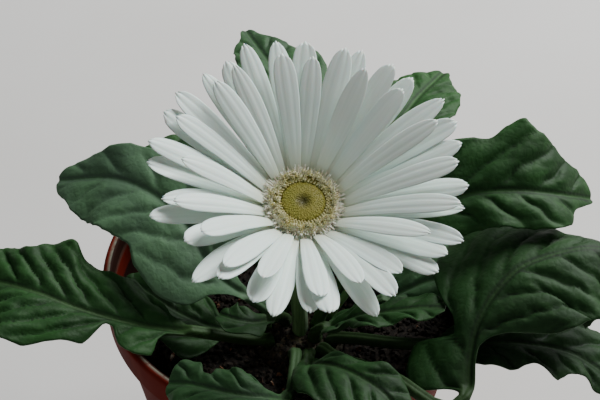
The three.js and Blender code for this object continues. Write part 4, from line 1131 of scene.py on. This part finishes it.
def fringeMaterial():
    made, tree, shader = newMaterial("fringeFloretCream", Roughness=0.5, IOR=1.4, Subsurface_Weight=0.1,
                                     Subsurface_Scale=0.001)
    # footColor: painted shade, a darker beige at the straps' feet and on the ring under them
    dress(tree, shader, layered(tree, fringe["footColor"], (fringe["color"], ("along", 0.1, 0.8)),
                                (fringe["dullColor"], (grain(tree, 1.6), 0.5, 0.7))))
    return made


def fringeBreadth(share):
    return np.interp(share, (0, 0.5, 0.85, 1), (0.7, 0.9, 0.8, 0.3))


def fringeMeshes(material):
    draw = seededRandom(fringe["seed"])
    kinds = [strapMesh("strap", 1, (84 - 8 * draw(), 8 + 40 * draw()), fringe["strapWidth"], fringeBreadth,
                       fringe["thickness"], curl=0.4 * draw(), stations=9, columns=5,
                       twist=40 * (draw() - 0.5), bend=14 * (draw() - 0.5)) for i in range(fringe["kinds"])]
    points = []
    for row, (ring, length, count, leaning) in enumerate(fringe["rows"]):
        for i in range(count):
            turn = 2 * math.pi * (i + 0.33 * row + 0.6 * (draw() - 0.5)) / count
            out = ring + 0.4 * (draw() - 0.5)
            size = length * (0.7 + 0.5 * draw())
            lean = leaning + 0.5 * (draw() - 0.5)
            wide = mix(fringe["narrowest"], fringe["widest"], draw())
            points.append(pointAt(out, turn, 0.1, (0.5 * (draw() - 0.5), lean, turn + 0.6 * (draw() - 0.5)),
                                  (size, wide, size), (i + 2 * row) % fringe["kinds"]))
    return [placed("fringeStraps", points, material, fringe["sway"], kinds),
            turnedMesh("fringeCollar", fringe["collar"])]


fringeSkin = fringeMaterial()
bloomPiece("transFlorets", fringeMeshes(fringeSkin), fringeSkin, "trans_florets")
say("fringe of short florets")


# disc: open florets with five curled lobes and a style, waxy pale yellow with an olive throat; inside them
# young florets still round like buds, and closed buds in a loose spiral, matt olive and darkest in the middle
disc = {
    "openCount": 205, "openRing": (7.5, 9.8), "openHeight": 2.5, "openRadius": 0.27, "kinds": 4,
    "openSway": (0.22, 3), "openSeed": 7, "youngRings": ((7.25, 46), (7.7, 49), (8.15, 52)),
    "youngLevel": 1.66,
    "openCollar": ((7.0, seat), (9.35, seat), (9.35, 1.9), (8.6, 1.95), (7.7, 1.8), (7.0, 1.6), (7.0, seat)),
    "budCount": 420, "budRadius": 7.0, "coreRadius": 6.75, "height": 2.2, "dimple": 1.1,
    "budSway": (0.06, 4), "budSeed": 17, "throatColor": "#7A731E", "openColor": "#EAE6BC",
    "openDeepColor": "#DDD690", "budColor": "#7A731E", "budTipColor": "#857E2A", "budGreenColor": "#77761E",
    "middleColor": "#3C380A",
}


def openMaterial():
    made, tree, shader = newMaterial("openFloretWaxyYellow", Roughness=0.5, IOR=1.42, Subsurface_Weight=0.08,
                                     Subsurface_Scale=0.0008)
    blotches = grain(tree, 1.7)
    dress(tree, shader, layered(tree, disc["openColor"], (disc["openDeepColor"], (blotches, 0.5, 0.7)),
                                (disc["throatColor"], ("along", 0.9, 0.25))))
    return made


def openKind(draw):  # a trumpet with five lobes that curl outward, and a style
    turn = fullTurn(10)
    rows = []
    for height, wide, lobed in ((0, 0.55, 0), (0.4, 0.6, 0), (0.75, 0.85, 0), (0.92, 1.25, 0.4), (1, 2, 1),
                                (0.9, 2.5, 1)):
        star = 1 + lobed * 0.4 * (np.cos(5 * turn) - 0.3) + 0.12 * (draw() - 0.5)
        rows.append(circle(disc["openRadius"] * wide * star, disc["openHeight"] * height, turn))
    rings = np.array([*rows, rows[3] * (0.6, 0.6, 0.96), rows[1] * (0.5, 0.5, 1)])
    tube = buildMesh("tube", rings * mm, ringFaces(len(rings), 10), {
        "along": np.repeat([0, 0.4, 0.75, 0.92, 1, 1, 0.6, 0.3], 10)})
    rows = [circle(wide, height, turn[::2])
            for wide, height in ((0.1, 1.4), (0.1, 2.7), (0.16, 3), (0.05, 3.3))]
    style = buildMesh("style", np.array(rows) * mm, ringFaces(4, 5, flatEnds=True), {"along": [0.7] * 20})
    return joined("openFloret", [tube, style])


def budKind(shade=1.0):
    rows = [circle(wide, height, fullTurn(8))
            for wide, height in ((0.42, -0.6), (0.5, 0), (0.46, 0.35), (0.3, 0.62), (0.1, 0.74))]
    return buildMesh("bud", np.array(rows) * mm, ringFaces(5, 8), {
        "along": shade * np.repeat([0, 0.2, 0.6, 0.9, 1], 8)})


def openMeshes(material):
    draw = seededRandom(disc["openSeed"])
    kinds = [openKind(draw) for i in range(disc["kinds"])] + [budKind(shade=0.5)]
    points = []
    for ring, (out, count) in enumerate(disc["youngRings"]):
        for i in range(count):
            turn = 2 * math.pi * (i + 0.5 * ring + 0.2 * draw()) / count
            points.append(pointAt(out, turn, disc["youngLevel"], (0, 0, turn), (0.85, 0.85, 0.5),
                                  disc["kinds"]))
    for i in range(disc["openCount"]):
        turn = 2 * math.pi * (i + 0.4 * draw()) / disc["openCount"]
        outward = draw() ** 0.75
        size = 0.7 + 0.5 * draw()
        points.append(pointAt(mix(*disc["openRing"], outward), turn, 0.2, (0, 0.05 + 0.4 * draw(), turn),
                              (size, size, mix(0.72, 1, outward) + 0.2 * draw()), i % disc["kinds"]))
    return [placed("openFlorets", points, material, disc["openSway"], kinds),
            turnedMesh("openCollar", disc["openCollar"])]


def budMaterial():
    made, tree, shader = newMaterial("closedBudOlive", Roughness=0.55, IOR=1.42)
    place = addNode(tree, "ShaderNodeTexCoord")
    middle = bloomAt @ Vector((0, 0, disc["height"] * mm))
    fromMiddle = addNode(tree, "ShaderNodeVectorMath", {0: place.outputs["Object"], 1: tuple(middle)},
                         operation="DISTANCE").outputs["Value"]
    dress(tree, shader, layered(tree, disc["budColor"], (disc["budTipColor"], ("along", 0.2, 1)),
                                (disc["budGreenColor"], (grain(tree, 4), 0.4, 0.7)),
                                (disc["middleColor"], (fromMiddle, 3.2 * mm, 0.4 * mm))))
    return made


def budTop(out):
    flat = 1 - 0.4 * (out / disc["budRadius"]) ** 2
    return disc["height"] * flat - disc["dimple"] * bell(out, 1.6)


def budMeshes(material):
    golden = math.pi * (3 - math.sqrt(5))
    draw = seededRandom(disc["budSeed"])
    points = []
    for i in range(disc["budCount"]):
        share = ((i + 0.5) / disc["budCount"]) ** 0.56
        out = (disc["budRadius"] - 0.25) * share + 0.16 * (draw() - 0.5)
        turn = i * golden + 0.16 * (draw() - 0.5) / max(share, 0.2)
        size = mix(0.5, 0.85, share) * (0.9 + 0.2 * draw())
        points.append(pointAt(out, turn, budTop(out), (0, 0.35 * share, turn), (size, size, 0.5)))
    radii = [disc["coreRadius"] * share for share in (1, 0.85, 0.7, 0.55, 0.4, 0.25, 0.12, 0)]
    core = [(0, seat), (radii[0], seat), *[(radius, budTop(radius) + 0.24) for radius in radii]]
    return [placed("budCluster", points, material, disc["budSway"], [budKind()]),
            turnedMesh("budCore", core)]


openSkin, budSkin = openMaterial(), budMaterial()
bloomPiece("discFlorets", openMeshes(openSkin), openSkin, "disc_florets")
bloomPiece("discBuds", budMeshes(budSkin), budSkin, "disc_buds")
say("disc florets and buds")


# cup of bracts: three overlapping rows, dull green and softened by down, with darker tips
bracts = {
    "perRow": 21, "length": 9.6, "width": 1.3, "thickness": 0.5, "kinds": 4, "seed": 9, "sway": (0.05, 6),
    "rows": ((10.9, -4.6), (9.6, -7.0), (7.4, -9.8)), "color": "#56713C", "tipColor": "#33482A",
}


def bractMaterial():
    made, tree, shader = newMaterial("bractDownyGreen", Roughness=0.6, IOR=1.42, Sheen_Weight=0.3)
    tone = layered(tree, bracts["color"], (bracts["tipColor"], ("along", 0.2, 1)))
    dress(tree, shader, tone, (grain(tree, 0.6), 0.1, 0.6))
    return made


def bractBreadth(share):
    return np.interp(share, (0, 0.3, 0.7, 1), (1, 1, 0.65, 0.15))


def cupMeshes(material):
    draw = seededRandom(bracts["seed"])
    kinds = [strapMesh("bract", bracts["length"], (56, 26 + 8 * draw()), bracts["width"], bractBreadth,
                       bracts["thickness"], stations=10, columns=5, arch=0.3, curl=-0.2)
             for i in range(bracts["kinds"])]
    points = []
    for row, (out, level) in enumerate(bracts["rows"]):
        for i in range(bracts["perRow"]):
            turn = 2 * math.pi * (i + 0.5 * (row % 2) + 0.2 * (draw() - 0.5)) / bracts["perRow"]
            size = 0.88 + 0.2 * draw()
            points.append(pointAt(out, turn, level, (0, 0, turn), (size, size, size), i % bracts["kinds"]))
    radius, top, depth, neck = (receptacle[k] for k in ("radius", "top", "depth", "neck"))
    cup = turnedMesh("bractCup", [
        (0, -depth), (neck, -depth), (neck + 0.6, -depth + 0.5), (radius * 0.52, -depth + 2.4),
        (radius * 0.72, -depth + 4.4), (radius * 0.86, -depth + 6.6), (radius * 0.95, top - 3.2),
        (radius, top - 1.2), (radius, top), (0, top)])
    return [placed("bractRows", points, material, bracts["sway"], kinds), cup]


bractSkin = bractMaterial()
bloomPiece("involucreCup", cupMeshes(bractSkin), bractSkin, "involucre")
say("cup of bracts")


# floor, light and camera, in metres
stageLook = {"floorSize": 6.0, "floorColor": "#D9D8D4", "floorPaleColor": "#DEDDDA", "worldColor": "#DFE3E6",
             "worldStrength": 0.12}
view = {"place": (0.003574, -0.363538, 0.511784), "tilt": 45, "lens": 93.312, "sensor": 36}
lights = (
    # name, place, aimed at, size, watts
    ("windowKey", (0.85, 0.82, 1.15), (0, 0, 0.13), 0.9, 46.0),
    ("softFill", (-0.7, -0.9, 0.9), (0, 0, 0.12), 1.2, 2.0),
)


def floorMaterial():  # matt pale paperboard, only faintly mottled, so that shadows lie soft on it
    made, tree, shader = newMaterial("paperboardMattPale", Roughness=0.9)
    dress(tree, shader, layered(tree, stageLook["floorColor"],
                                (stageLook["floorPaleColor"], (grain(tree, 120), 0.35, 0.65))))
    return made


def makeFloor():
    half = stageLook["floorSize"] / 2
    mesh = rawMesh("floorPaper", [(-half, -half, 0), (half, -half, 0), (half, half, 0), (-half, half, 0)],
                   [(0, 1, 2, 3)])
    mesh.materials.append(floorMaterial())
    addObject("floorPaper", mesh)


def makeLights():
    for name, place, target, size, watts in lights:
        lamp = bpy.data.lights.new(name, "AREA")
        lamp.size = size
        lamp.energy = watts
        thing = addObject(name, lamp)
        thing.location = place
        thing.rotation_euler = (Vector(target) - Vector(place)).to_track_quat("-Z", "Y").to_euler()
    world = bpy.data.worlds.new("softStudio")
    world.use_nodes = True
    background = world.node_tree.nodes["Background"]
    background.inputs["Color"].default_value = hexColor(stageLook["worldColor"])
    background.inputs["Strength"].default_value = stageLook["worldStrength"]
    bpy.context.scene.world = world


def makeCamera():
    lens = bpy.data.cameras.new("viewCamera")
    lens.lens = view["lens"]
    lens.sensor_width = view["sensor"]
    lens.clip_start = 0.02
    camera = addObject("viewCamera", lens)
    camera.location = view["place"]
    camera.rotation_euler = (math.radians(view["tilt"]), 0, 0)
    bpy.context.scene.camera = camera


makeFloor()
makeLights()
makeCamera()
say("stage set")
